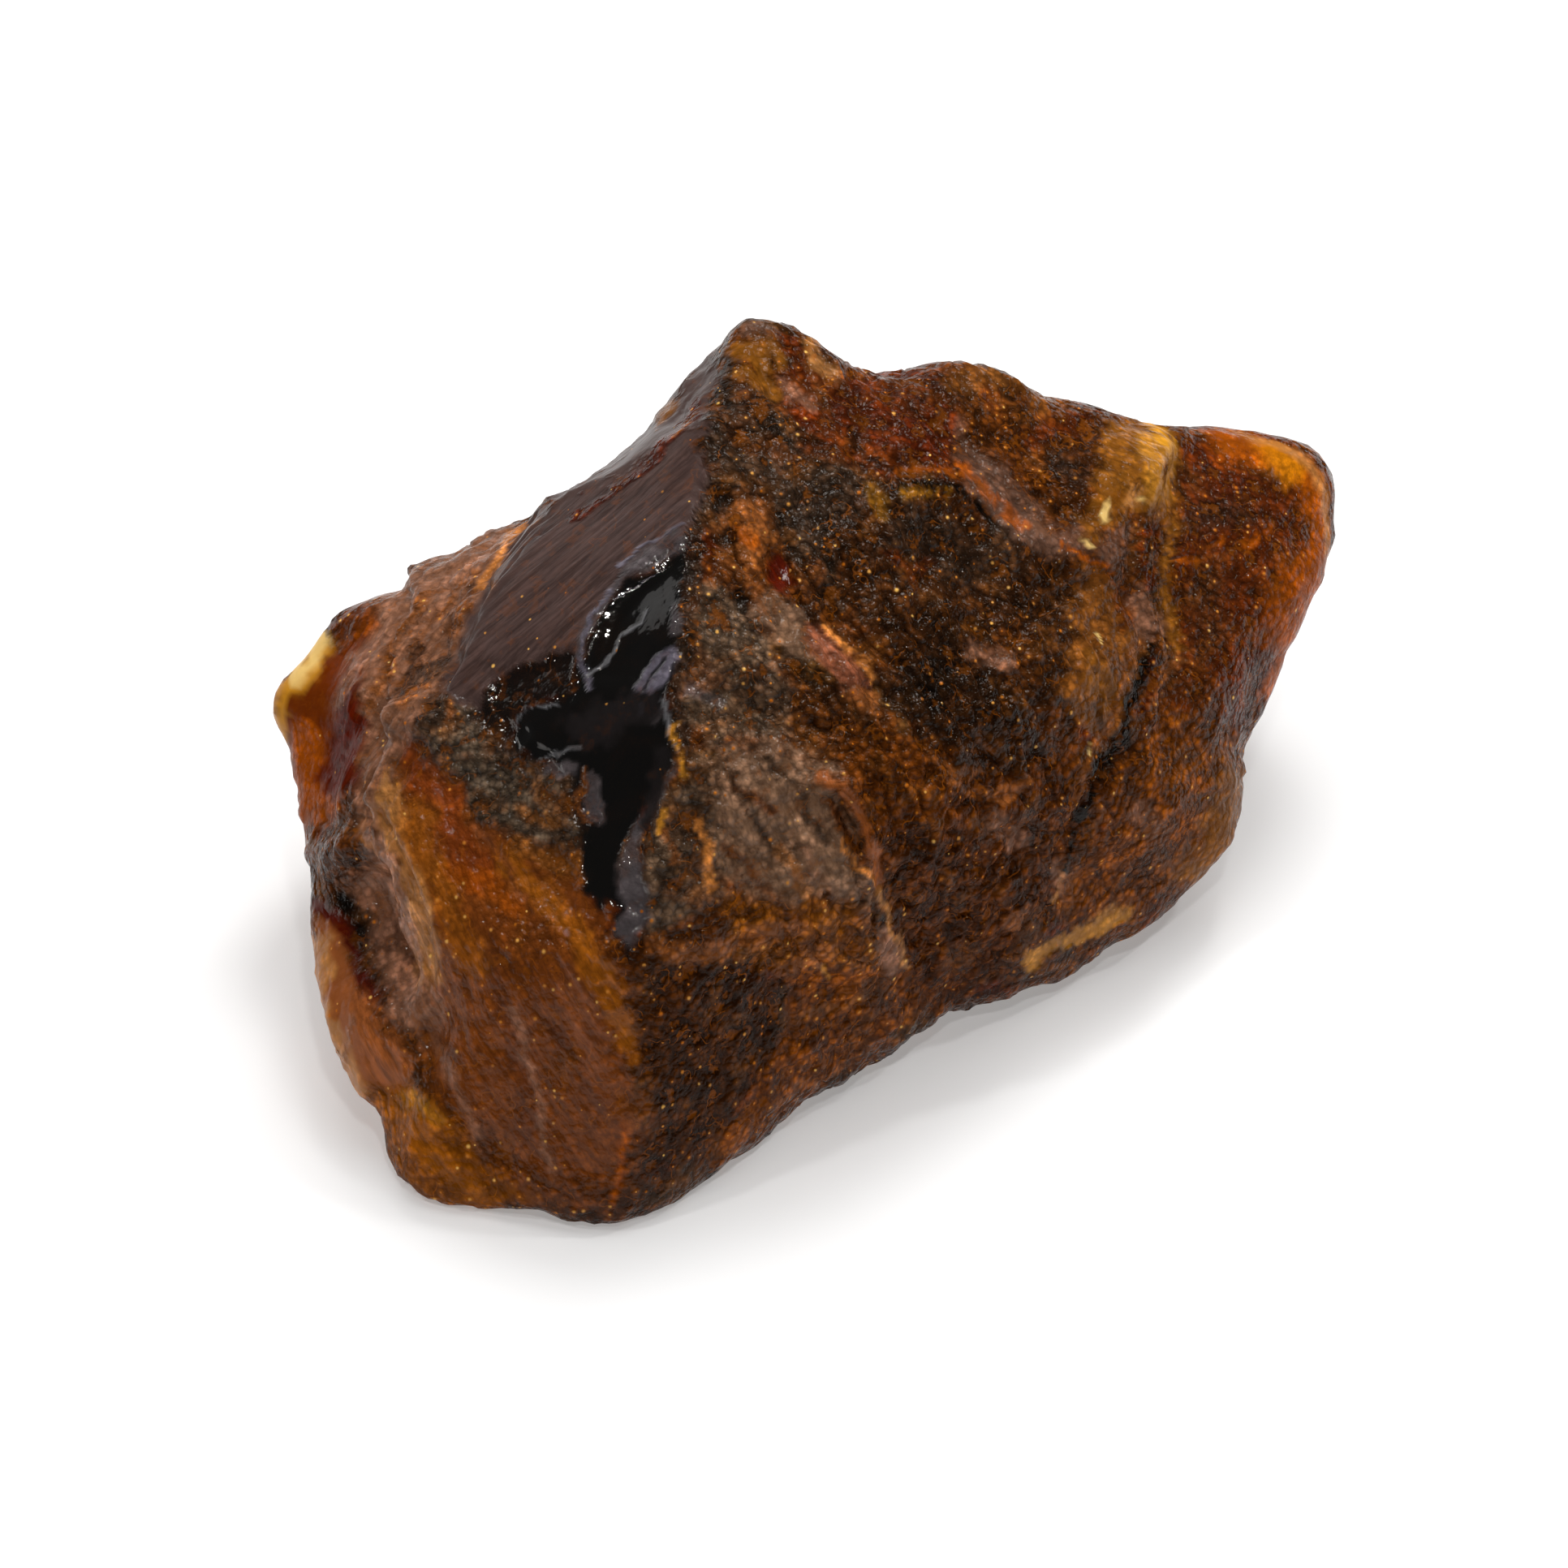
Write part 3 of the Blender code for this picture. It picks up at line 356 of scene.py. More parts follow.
# Coats: a finish, how softly it ends and its outline on the front, laid on in order.
FRONT_COATS = {
    "broad_low": ("russet", 0.6, [
        (5.7, 3.3), (11.7, 2), (17.7, 1.3), (21.7, 1.8), (19.7, -2.2), (17.2, -7.2), (14.2, -11.2),
        (9.7, -13.9), (7.2, -11.7), (5.7, -6.2), (4.2, -0.7), (2.7, 1.8), (4.2, 3.5)
    ]),
    "pocket": ("dark_umber", 1.0, [
        (7.2, 18.3), (10.7, 17.7), (13.2, 15.8), (15.7, 13.8), (18.2, 10.8), (18.9, 5.8), (17.2, 1.8),
        (11.7, 1.6), (7.7, 3), (5.7, 6.8), (3.7, 11.3), (3.2, 15.3), (4.7, 17.3)
    ]),
    "upper_middle": ("soot", 0.6, [
        (-0.6, 20.3), (4.7, 20.1), (7.2, 18.8), (4.7, 17.1), (3.2, 15.1), (4, 11.1), (1.7, 11.3),
        (-0.2, 13.8), (-0.8, 17.3)
    ]),
    "red_slope": ("rust", 1.0, [
        (-0.8, 24.8), (0.5, 26.3), (2.2, 25.8), (4.7, 25.4), (7.7, 25.6), (10.2, 25.4), (10.7, 22.3),
        (10.4, 19.3), (7.2, 19.1), (4.2, 20.1), (1.2, 22.3)
    ]),
    "far_slope": ("russet", 0.6, [
        (10.4, 23.3), (15.7, 23.8), (20.2, 22.8), (19.4, 20.3), (19.3, 18.3), (18.4, 16.3), (16.2, 16.1),
        (13.2, 18.1), (11.2, 20.3)
    ]),
    "mauve_slope": ("mauve_crust", 0.6, [
        (11.2, 20.6), (12.4, 19.9), (14.2, 18.1), (16.7, 15.9), (18.4, 16.6), (20.9, 15.8), (21.6, 13.7),
        (20.2, 13.2), (18.4, 14.2), (16.2, 13.7), (14.2, 14.9), (12.4, 16.9), (11.2, 18.7)
    ]),
    "ochre_block": ("ochre", 0.6, [
        (20.1, 22.7), (21.7, 22.4), (24.1, 21.6), (24.3, 20.3), (24, 17.8), (23.5, 16.1), (21.7, 16.9),
        (19.8, 16.2), (18.9, 15.2), (18.4, 16.7), (19.3, 18.3), (19.4, 20.6)
    ]),
    "ochre_band": ("olive_ochre", 0.6, [
        (18.1, 13.9), (19.8, 13.1), (21.7, 10.6), (22.3, 8.3), (21.8, 5.8), (19.9, 3.2), (17.8, 4.2),
        (16.6, 5.8), (17.6, 8.3), (17.9, 11.3)
    ]),
    "right_lobe": ("lobe_brown", 0.6, [
        (24.2, 22.1), (29.7, 21.9), (34, 19.3), (34, 13.3), (31.9, 8.3), (29.9, 4.3), (28.9, 0.3),
        (23.7, 3), (24.4, 7.3), (23.8, 11.3), (24.1, 16.3)
    ]),
    "right_foot": ("warm_umber", 0.6, [
        (21.7, 2.3), (23.7, 4), (28.9, 3), (28.7, 0.3), (27.7, -3.7), (22.7, -7.2), (18.7, -9.9),
        (16.7, -8.2), (19.2, -2.5)
    ]),
    "crest_crust": ("soot", 0.6, [
        (-5, 24.3), (-3.3, 24.8), (-0.3, 24.2), (0.9, 22.3), (0.5, 19.8), (-0.6, 17.7), (-3, 16.6),
        (-4.4, 15.3), (-5.3, 17.3), (-5.2, 21.3)
    ]),
    "orange_welt": ("orange_crust", 0.6, [
        (-4.3, 16.3), (-3, 17.7), (-1.1, 17.7), (-0.2, 15.8), (-0.6, 14.1), (-1.7, 13.3), (-1.3, 11.1),
        (-3.2, 12.7), (-4, 13.8)
    ]),
    "crest_flank": ("grey_umber", 0.6, [
        (-4.9, 12.3), (-1.8, 10.9), (-0.3, 7.3), (0.8, 4.3), (-1.3, 2.5), (-4.3, 2.4), (-5.9, 4.3),
        (-6, 8.3)
    ]),
    "grey_shoulder": ("grey_film", 1.6, [
        (-4.5, 1.6), (-0.6, 3), (2.2, 0.8), (3.7, -2.2), (5.1, -6), (4.7, -7.3), (-0.3, -7.3), (-3, -7.1),
        (-4, -3.7), (-4.7, -0.7)
    ]),
    "spotted_strip": ("grey_umber", 0.6, [
        (-8, -0.9), (-4.3, 0.8), (-3.7, -3.7), (-3.5, -7), (-5.3, -8), (-8.3, -9.2), (-8.7, -5.7)
    ]),
    "under_shoulder": ("tawny_crust", 0.6, [
        (-3.5, -7), (4.7, -7.3), (7, -11.2), (3.7, -11.7), (-0.3, -11.9), (-3.3, -9.9)
    ]),
    "dark_foot": ("foot_umber", 0.6, [
        (-10.4, -9.2), (-8.3, -9.7), (-5.3, -11.2), (-1.8, -11.2), (-0.1, -11.9), (-0.4, -14.9),
        (-1.8, -18.4), (-4, -21.9), (-7.8, -24.2), (-8.6, -21.7), (-9.2, -16.7), (-10.1, -12.7)
    ]),
    "low_strip": ("warm_umber", 0.6, [
        (-0.1, -11.9), (4.7, -11.2), (7.7, -11.7), (9.9, -13.7), (4.7, -16.4), (0.7, -19.4), (-3, -22.9),
        (-4.8, -23.7), (-1.8, -18.4), (-0.3, -15.2)
    ]),
    "waxy_face": ("waxy_brown", 1.2, [
        (-23.3, 1.6), (-21.3, 0.6), (-18.8, -1.9), (-16.3, -3.5), (-13.1, -4), (-11.1, -6.7),
        (-9.9, -10.7), (-9.1, -16.7), (-8.3, -21.7), (-11.6, -25.9), (-16.3, -25.9), (-20.3, -21.7),
        (-22.3, -16.7), (-22.7, -11.7), (-23.8, -6.7), (-25.2, -2.2), (-24.8, 0.3)
    ]),
    "ash_slope": ("ash_olive", 0.6, [
        (-21.7, 5.4), (-19.3, 5), (-18.3, 3.4), (-16.7, 1.9), (-14.9, 1.1), (-13.2, 0.1), (-13.1, -1.7),
        (-12.9, -3.8), (-14.3, -4.1), (-16.3, -3.4), (-18.8, -1.9), (-21.1, 0.4), (-22.7, 3)
    ]),
    "dark_chips": ("bitumen", 0.6, [
        (-18.7, 4.9), (-18, 6.5), (-15.9, 7.3), (-12.8, 8.7), (-12.5, 6), (-15.8, 3.9), (-16.6, 1.7),
        (-18.2, 3.2), (-19.3, 4.2)
    ]),
    # The glassy window's colour is partly its painted sheen.
    "glass_window": ("smoke_glass_and_sheen", 0.25, [
        (-5, 21.8), (-6.3, 21.8), (-8.3, 20.5), (-10.3, 19.3), (-12.2, 18.9), (-14.3, 17.6), (-16.4, 15.8),
        (-17.7, 13.8), (-18.5, 12.2), (-19.7, 10.1), (-20.5, 8.3), (-21.2, 6), (-19.6, 5.1), (-18.6, 4.8),
        (-17.9, 6.5), (-15.9, 7.2), (-12.8, 8.6), (-11.9, 8.3), (-11.1, 10.2), (-9.5, 12.1), (-6, 14.9),
        (-4.9, 17.8)
    ]),
    "black_glass": ("black_glass", 0.3, [
        (-5.9, 15.2), (-9.5, 12.2), (-11.1, 10.3), (-11.9, 8.4), (-12.7, 5.9), (-16.1, 3.9), (-16.7, 1.8),
        (-14.3, 1.2), (-13.2, 0.2), (-13.1, -1.7), (-12.7, -4.2), (-11.7, -6), (-10.5, -7.7),
        (-9.3, -11.2), (-9.9, -7.6), (-10.2, -6), (-9.7, -3), (-8.2, -1), (-7, 1.1), (-6.4, 3.3),
        (-6.9, 5.8), (-5.9, 8.3), (-6.2, 10.8), (-5.8, 13.3)
    ]),
    # This strip is a painted reflection of the lamps in a rough band of the dark break.
    "slate_strip": ("slate", 0.3, [
        (-6.9, 1.1), (-8.1, -0.9), (-9.6, -2.9), (-10.3, -6), (-10, -9.2), (-9.4, -9.8), (-8.4, -8.2),
        (-8.6, -5.7), (-8.7, -3.2), (-7.9, -1.2), (-6.7, 0.3)
    ]),
    "terrace": ("cognac", 0.6, [
        (-31.8, 5.8), (-28.3, 9.1), (-25.8, 11.6), (-24.3, 11.6), (-25.6, 7.3), (-26.2, 4.3), (-26.7, 1.3),
        (-28.2, -1.7), (-28.9, -5.2), (-30.1, -4.7), (-31.1, 0.3), (-31.7, 3.3)
    ]),
    "lip_crust": ("fold_brown", 0.6, [
        (-25.6, 11.6), (-22.3, 14.1), (-19.3, 15.8), (-16.2, 16.5), (-17.3, 14.3), (-18.4, 12.3),
        (-19.6, 9.9), (-21.1, 6.2), (-22.3, 3.8), (-23.1, 1.8), (-24.8, 0.2), (-25.3, -2.2), (-24.6, -4.2),
        (-23.1, -7.3), (-24.3, -7.3), (-25.9, -4.8), (-27.1, -2.7), (-26.7, 0.3), (-26.1, 3.3),
        (-25.9, 6.3), (-25.4, 8.8)
    ]),
    "steep_band": ("mauve_film_and_sheen", 0.9, [
        (-25.4, -2.2), (-24.7, -3.2), (-23.4, -6), (-22.3, -8.7), (-21.7, -10.7), (-21.5, -13.9),
        (-22.6, -15.9), (-24.1, -13.9), (-25.1, -11.2), (-26.1, -8.2), (-26.7, -6), (-26.3, -4.2)
    ]),
    "below_lip": ("umber", 1.0, [
        (-29.3, -4.7), (-28.3, -2.2), (-26.9, -2.5), (-26.1, -4.7), (-26.7, -6), (-27.6, -6.5),
        (-28.3, -7.7), (-29.1, -7.7)
    ]),
    # The black in the crevice is painted shade.
    "crevice": ("pitch", 0.6, [
        (-27.3, -5.8), (-26.3, -7.1), (-25.2, -10.7), (-24.4, -13.9), (-25.6, -13.1), (-26.7, -10.7),
        (-27.8, -8.1)
    ]),
    "left_pane": ("flesh", 0.8, [
        (-29.3, -7.2), (-28.2, -8), (-27.1, -10.1), (-25.7, -12.4), (-24.4, -14.4), (-22.7, -18.2),
        (-24.1, -20.3), (-26.3, -19.7), (-28.1, -16.2), (-29.3, -12.2)
    ]),
    "low_lobe": ("deep_ochre", 0.6, [
        (-25.8, -18.9), (-23.3, -18.4), (-21.1, -20.4), (-18.8, -22.7), (-15.6, -25.4), (-18.3, -26.7),
        (-21.3, -26.6), (-23.8, -25.1), (-24.4, -22.7), (-25.1, -20.9)
    ]),
    # The bevel has the same colour, partly painted sheen.
    "bevel": ("smoke_glass_and_sheen", 0.25, [
        (-4.9, 21.9), (-6.3, 21.7), (-8.3, 20.4), (-10.3, 19.2), (-12.2, 18.8), (-13.8, 18.3),
        (-11.3, 20.1), (-8.6, 22.3), (-6.8, 24.1), (-4.8, 26.3), (-3, 27.1), (-3.8, 25.3), (-4.7, 23.8)
    ]),
    # The next three patches are painted reflections of the lamps on chips of the dark break.
    "big_patch": ("painted_blue_reflection", 0.2, [
        (-8.2, 8), (-7.3, 8.2), (-6.6, 8.3), (-6.5, 7.5), (-6.9, 6.5), (-8, 5.8), (-9.2, 5.8), (-9.1, 6.3),
        (-8.6, 7.2)
    ]),
    "lens_patch": ("slate", 0.2, [
        (-14.9, 1.3), (-13.8, 1.4), (-13.1, 0.9), (-13.2, 0.3), (-14, 0.3), (-14.8, 0.7)
    ]),
    "tall_patch": ("slate", 0.2, [
        (-12.5, 0.5), (-11.9, 0.6), (-11.4, -0.5), (-11.3, -1.9), (-11.9, -2.4), (-12.5, -1.9),
        (-12.6, -0.9)
    ]),
}
# Coats on the far side, as (across, up) seen square from the back.
REAR_COATS = {
    "rear_break": ("smoke_glass_and_sheen", 0.4, [(-20, 17), (-13, 24), (-5, 26), (-3, 19), (-8, 11), (-16, 10)]),
    "rear_dark": ("bitumen", 1.2, [(-13, 19), (-6, 25), (-2, 20), (-7, 11), (-14, 12)]),
    "rear_waxy": ("waxy_brown", 1.2, [(8, 6), (16, 13), (24, 12), (28, 5), (20, 2), (11, 2)]),
    "rear_ochre": ("olive_ochre", 2.0, [(2, 24), (9, 28), (14, 25), (10, 20), (4, 20)]),
    "rear_film": ("grey_umber", 2.0, [(-4, 12), (4, 17), (8, 12), (3, 6), (-3, 7)]),
    "rear_soot": ("soot", 1.0, [(13, 23), (22, 24), (27, 17), (20, 15), (14, 18)]),
    "rear_foot": ("deep_ochre", 1.6, [(-29, 10), (-20, 9), (-14, 3), (-20, 0), (-31, 0)]),
}
# Strokes: a finish, half its width, how strongly it covers, and its path.
FRONT_STROKES = {
    # The milky, cream, edge and orange strokes of the tip paint the glow of light through its thin amber;
    # its spots and red are its own colour.
    "tip_milk": ("milk_yellow", 0.7, 0.9, [(-30.7, 5.8), (-29.7, 7.2), (-28.4, 8.6)]),
    "tip_cream": ("cream", 0.45, 0.9, [(-30.3, 6.4), (-29.3, 7.7), (-28.3, 8.9)]),
    "tip_spots": ("cognac", 0.25, 0.7, [(-29.7, 3), (-28.8, 1.8), (-29.1, 0.3)]),
    "tip_edge": ("milk_yellow", 0.4, 0.8, [(-31.2, 4.8), (-31.1, 2), (-30.7, -0.9)]),
    "tip_orange": ("amber_orange", 1.2, 0.8, [(-29.4, 3), (-29.1, 0.8), (-28.9, -1.2)]),
    "tip_red": ("red_amber", 1, 0.9, [(-26.8, 5.4), (-26.9, 2.8), (-27.4, 0.1)]),
    "terrace_film": ("mauve_film_and_sheen", 0.55, 0.7, [(-27.3, 4.9), (-26.4, 7.5), (-24.8, 10.1), (-23.1, 12.7)]),
    "terrace_brown": ("chestnut", 0.6, 0.6, [(-27.4, 8.8), (-25.7, 10.9), (-23.7, 13)]),
    "terrace_spots": ("amber_orange", 0.3, 0.6, [(-26.8, 9.1), (-25.7, 9.8)]),
    "lip_orange_1": ("orange_crust", 0.3, 0.9, [(-24.8, 5.8), (-24.2, 8.1), (-23.1, 10.1), (-21.8, 11.6)]),
    "lip_orange_2": ("orange_crust", 0.3, 0.8, [(-23.3, 7.7), (-22.3, 9.3), (-20.5, 11.6), (-18.8, 13.8)]),
    "lip_orange_3": ("orange_crust", 0.3, 0.9, [(-20.5, 9.3), (-20, 10.1), (-19.4, 11.1)]),
    "lip_orange_4": ("orange_crust", 0.3, 0.9, [(-25.6, 4.3), (-25.2, 5.8)]),
    # The mauve strokes on the lip lie on its fold ridges: film, with their sheen painted in.
    "lip_film_1": ("mauve_film_and_sheen", 0.2, 0.8, [
        (-25.7, 3), (-25.6, 5.8), (-24.8, 8.3), (-23.3, 10.7), (-21.4, 12.6)
    ]),
    "lip_film_2": ("mauve_film_and_sheen", 0.2, 0.8, [
        (-24.4, 3.3), (-24.2, 5.8), (-23.1, 8.3), (-21.8, 10.1), (-20.3, 12.6), (-17.8, 14.9)
    ]),
    "lip_film_3": ("mauve_film_and_sheen", 0.25, 0.7, [(-25.6, -0.5), (-24.8, 1.6), (-23.3, 3), (-22.7, 4)]),
    "lip_dark_1": ("soot", 0.5, 0.7, [(-22.3, 6.4), (-21.1, 7.5)]),
    "lip_dark_2": ("dark_umber", 0.5, 0.6, [(-23.3, 5.8), (-22.6, 8.3)]),
    "lip_gold": ("orange_crust", 0.25, 0.9, [(-23.2, 5.2), (-22.5, 5.8), (-21.8, 5.9)]),
    "lip_foot_gold": ("honey", 0.25, 0.9, [(-26.1, -2.3), (-25.9, -3.3), (-25.4, -4.1)]),
    "lip_foot_film": ("mauve_film_and_sheen", 0.25, 0.8, [
        (-26.5, -0.9), (-26.2, -2.2), (-25.2, -4.6), (-23.8, -7.2)
    ]),
    "left_edge": ("olive_ochre", 0.35, 0.7, [(-29.5, -2.7), (-28.9, -4.8), (-28.4, -7)]),
    "bevel_rust": ("oxblood", 0.25, 0.9, [
        (-5.5, 23.1), (-6.8, 21.3), (-8.8, 19.8), (-11.3, 17.7), (-13.1, 16.4)
    ]),
    "back_bump": ("ochre", 0.4, 0.9, [(-7.2, 23.4), (-8, 22.5)]),
    "peak_dark": ("soot", 0.55, 0.9, [(-3.7, 26.2), (-3.8, 24.4)]),
    "peak_gold": ("ochre", 0.65, 0.95, [(-2.9, 26.7), (-2, 26.8), (-1.5, 25.8)]),
    "peak_orange": ("ochre", 0.5, 0.95, [(-2.7, 25.3), (-1.8, 24.8), (-0.9, 24.2)]),
    "peak_top": ("mauve_crust", 0.4, 0.9, [(-2, 28.2), (-1.1, 28.3), (-0.4, 27.7)]),
    "cleft_right": ("ochre", 0.4, 0.9, [(-0.8, 26.9), (-0.3, 26.1)]),
    "peak_rust": ("rust", 0.45, 0.8, [(-0.1, 27.1), (1.2, 26.3), (1.9, 25.6)]),
    "peak_tan": ("waxy_tan", 0.4, 0.7, [(1.7, 27.1), (2.3, 25.6), (2.8, 25.2)]),
    "peak_mauve": ("mauve_film_and_sheen", 0.4, 0.6, [(-0.1, 24.9), (1.7, 23.8)]),
    "sky_brown": ("chestnut", 0.4, 0.8, [(3.2, 26.3), (4.5, 25.7)]),
    "deep_red_slope": ("oxblood", 1.1, 0.7, [(3.7, 23.3), (5.7, 22.3), (8.2, 21.1)]),
    "slope_orange": ("orange_crust", 0.35, 0.6, [(2.2, 24.4), (3.7, 24.9), (4.8, 25)]),
    # This black stroke is painted shade in a seam by a pit.
    "slope_seam": ("pitch", 0.2, 0.8, [(4.2, 21.9), (4.9, 20.9), (5.6, 20)]),
    "sky_olive": ("olive_ochre", 0.65, 0.8, [(10.3, 25), (12.4, 25.2), (14.4, 24.6), (15.9, 23.8)]),
    "slope_tan": ("mauve_crust", 0.45, 0.5, [(10.5, 22.3), (10.8, 20.3), (11.9, 18.8)]),
    "sky_dark": ("umber", 0.35, 0.9, [(16.9, 24.2), (20.2, 23.4), (23.7, 22.4)]),
    "far_dark": ("soot", 0.9, 0.6, [(16.7, 19.8), (18.2, 18.8)]),
    "far_rust": ("rust", 0.7, 0.6, [(15.2, 21.3), (18.2, 22.3)]),
    "block_gold": ("gold", 0.75, 0.9, [(22.6, 21.3), (23.2, 19.6), (22.7, 18.1)]),
    "block_milk": ("milk_yellow", 0.4, 0.9, [(23, 21.6), (23.6, 20.7)]),
    "block_low": ("waxy_tan", 0.4, 0.7, [(21.4, 18.3), (20.9, 17.3)]),
    "band_gold": ("ochre", 0.7, 0.7, [(18.9, 7.3), (20.3, 5.3)]),
    "band_orange": ("lobe_brown", 0.5, 0.7, [(20.9, 11.8), (21.3, 9.8)]),
    "band_mauve": ("mauve_film_and_sheen", 0.6, 0.7, [(21.9, 11.6), (22.7, 9.6)]),
    "strip_ochre": ("ochre", 0.35, 0.9, [(23.7, 16.3), (23.5, 13.8), (23.3, 11.8), (23.7, 9.8), (24, 8.3)]),
    "strip_low": ("orange_crust", 0.3, 0.8, [(24, 8.3), (22.9, 6), (22.3, 4.3)]),
    "strip_groove": ("rust", 0.25, 0.9, [(22.4, 15.7), (22.3, 13.8), (22.4, 12.1)]),
    "strip_groove_low": ("rust", 0.25, 0.9, [(22.9, 8.8), (22.7, 6.8), (21.9, 4.3)]),
    "mauve_orange_line": ("amber_orange", 0.15, 0.9, [
        (17.1, 15.1), (18.3, 14.3), (19.6, 13.3), (20.2, 12.4)
    ]),
    # A painted shadow under the pocket's lip; the orange stroke after it paints the glow along the lip's
    # edge.
    "shadow_under_lip": ("pitch", 0.3, 1.0, [
        (7, 18.3), (8.7, 18.6), (10.2, 18.4), (11.9, 17.4), (13.7, 15.7)
    ]),
    "glow_over_lip": ("amber_orange", 0.2, 0.7, [
        (7.2, 19.4), (9.2, 19.6), (11.3, 19.1), (13.2, 17.7), (15.1, 15.8)
    ]),
    "moss_lip": ("yellow_moss", 0.3, 0.5, [(7.5, 18.1), (8.7, 18), (10.3, 17.8)]),
    "moss_left": ("yellow_moss", 0.55, 0.5, [(5.3, 18.3), (6.1, 17.2)]),
    "pocket_grey": ("soot", 1.7, 0.75, [(7.7, 15.8), (10.7, 13.8), (13.2, 14.3)]),
    # This black stroke is painted shade at the bottom of the pocket.
    "pocket_painted_shade": ("pitch", 2, 0.7, [(9.2, 5.8), (11.4, 5.3)]),
    "pocket_rust": ("rust", 0.4, 0.5, [(6.7, 13.8), (8, 12.3), (8.7, 13.3)]),
    "pocket_right_grey": ("umber", 1, 0.6, [(13.2, 8.3), (15.2, 6.8)]),
    # These four strokes paint the glow of light through the thin rim of the right lobe.
    "rim_orange": ("amber_orange", 0.95, 0.9, [
        (26.7, 21.1), (28.9, 21.1), (31.2, 20.1), (32.6, 17.8), (33, 14.3), (32.6, 11.1), (31.6, 8.3),
        (30.4, 6)
    ]),
    "rim_blob": ("honey", 0.85, 0.9, [(30.6, 20.3), (31.3, 19.3)]),
    "rim_tan": ("waxy_tan", 0.3, 0.7, [
        (27.7, 21.6), (30.2, 21.3), (32.3, 19.8), (33.4, 17.3), (33.6, 13.8)
    ]),
    "lobe_orange": ("amber_orange", 1.1, 0.5, [(31.2, 12.3), (30.4, 9.3)]),
    "lobe_rust": ("rust", 0.85, 0.7, [(25.7, 20.6), (26.9, 18.3), (28.2, 19.1)]),
    "lobe_dark": ("soot", 1, 0.6, [(25.6, 16.3), (27.7, 16.8)]),
    "lobe_dark_low": ("dark_umber", 1.2, 0.7, [(25.7, 12.3), (26.2, 8.8)]),
    "lobe_mauve": ("umber", 1.2, 0.7, [(25.4, 5.3), (26.7, 3)]),
    "lobe_vein": ("amber_orange", 0.15, 0.95, [
        (24.3, 13.9), (25.8, 14.4), (27.3, 14.6), (28.9, 14.9), (30.3, 15.9)
    ]),
    "foot_ochre": ("ochre", 1.5, 0.85, [(28.1, -0.2), (27.6, -2.7), (25.7, -5.2)]),
    "yellow_bits": ("gold", 0.4, 0.9, [(15.3, -11.2), (16.7, -10.1), (18.9, -8.9), (20.9, -7.8)]),
    "foot_orange": ("orange_crust", 0.35, 0.7, [(13.9, -8.7), (14.8, -7.7)]),
    "crack_light": ("waxy_tan", 0.2, 0.7, [(16.6, -7.3), (17.2, -5.7)]),
    # These three patches are painted sheen on the low crust.
    "mauve_patch_1": ("mauve_film_and_sheen", 0.8, 0.5, [(13.4, -2.5), (14.2, -3.5)]),
    "mauve_patch_2": ("mauve_film_and_sheen", 0.7, 0.5, [(16.7, -5.5), (17.7, -6.2)]),
    "mauve_patch_3": ("mauve_film_and_sheen", 0.7, 0.4, [(21.9, -1.7), (22.9, -2.5)]),
    "broad_rust": ("orange_crust", 0.4, 0.45, [(9.2, 1.8), (10.7, 0.3), (14.7, 1.1)]),
    "film_top": ("grey_film", 1, 0.85, [(-0.9, 11.1), (0.9, 8.3)]),
    "pink_band": ("pink_brown", 0.85, 0.9, [(1.7, 9.1), (3.2, 7.3), (4.3, 5.8)]),
    "pink_edge": ("tan_crust", 0.3, 0.6, [(2.5, 9.9), (4, 8.1), (5.3, 6.4)]),
    "pink_end": ("orange_crust", 0.55, 0.7, [(4.2, 5.3), (5.5, 4.7)]),
    "red_pit": ("deep_red", 0.6, 0.95, [(-0.5, 13.3), (-0.1, 12.5)]),
    "welt_honey": ("amber_orange", 0.45, 0.8, [(-3, 15.6), (-1.8, 14.9)]),
    # The next three black strokes are painted shade in the pits by the welt.
    "welt_dark": ("pitch", 0.4, 0.9, [(-4.3, 17.4), (-3.5, 17.2)]),
    "welt_dark_2": ("pitch", 0.55, 0.9, [(-4, 15.3), (-3.5, 15.5)]),
    "welt_dark_3": ("pitch", 0.45, 0.9, [(-3, 11.8), (-2.4, 11.2)]),
    "crest_dark": ("soot", 0.45, 0.9, [(-5, 17.3), (-5.7, 13.3), (-6, 9.3), (-6.4, 5.8), (-5.8, 2.3)]),
    # This grey stroke is a painted reflection on the crest.
    "crest_grey": ("slate", 0.35, 0.5, [(-5.4, 5.8), (-4.3, 4.8)]),
    "shoulder_gap": ("chestnut", 0.3, 0.8, [(-3, 0.1), (-1.8, -0.9), (-0.8, -1.9)]),
    "shoulder_tan": ("tan_crust", 0.3, 0.4, [(-0.3, -4.2), (0.7, -5.7), (1.4, -6.7)]),
    "shoulder_slate": ("mauve_film_and_sheen", 0.3, 0.4, [(1.3, -4.2), (1.7, -5.3)]),
    "snake": ("flesh", 0.4, 0.95, [
        (2.2, 0.1), (3.8, -0.1), (4.7, -1.1), (5.1, -2.7), (5.3, -4.5), (5.6, -5.8)
    ]),
    "snake_dark": ("chestnut", 0.25, 0.9, [(3.2, -1.2), (3.9, -3.2), (4.7, -5)]),
    "snake_left": ("tan_crust", 0.15, 0.8, [(3.5, -3.7), (4.2, -5.1), (5.1, -6)]),
    "fold_tan": ("waxy_tan", 0.25, 0.6, [(5.7, -6.2), (6.5, -8), (6.9, -9.9), (7.7, -11.4)]),
    "fold_mauve": ("mauve_film_and_sheen", 0.6, 0.9, [(6.1, -9.8), (6.7, -11.2)]),
    "spot_orange_1": ("tan_crust", 0.35, 0.9, [(-4.7, -2.5), (-4.2, -4.2), (-4.3, -6.3)]),
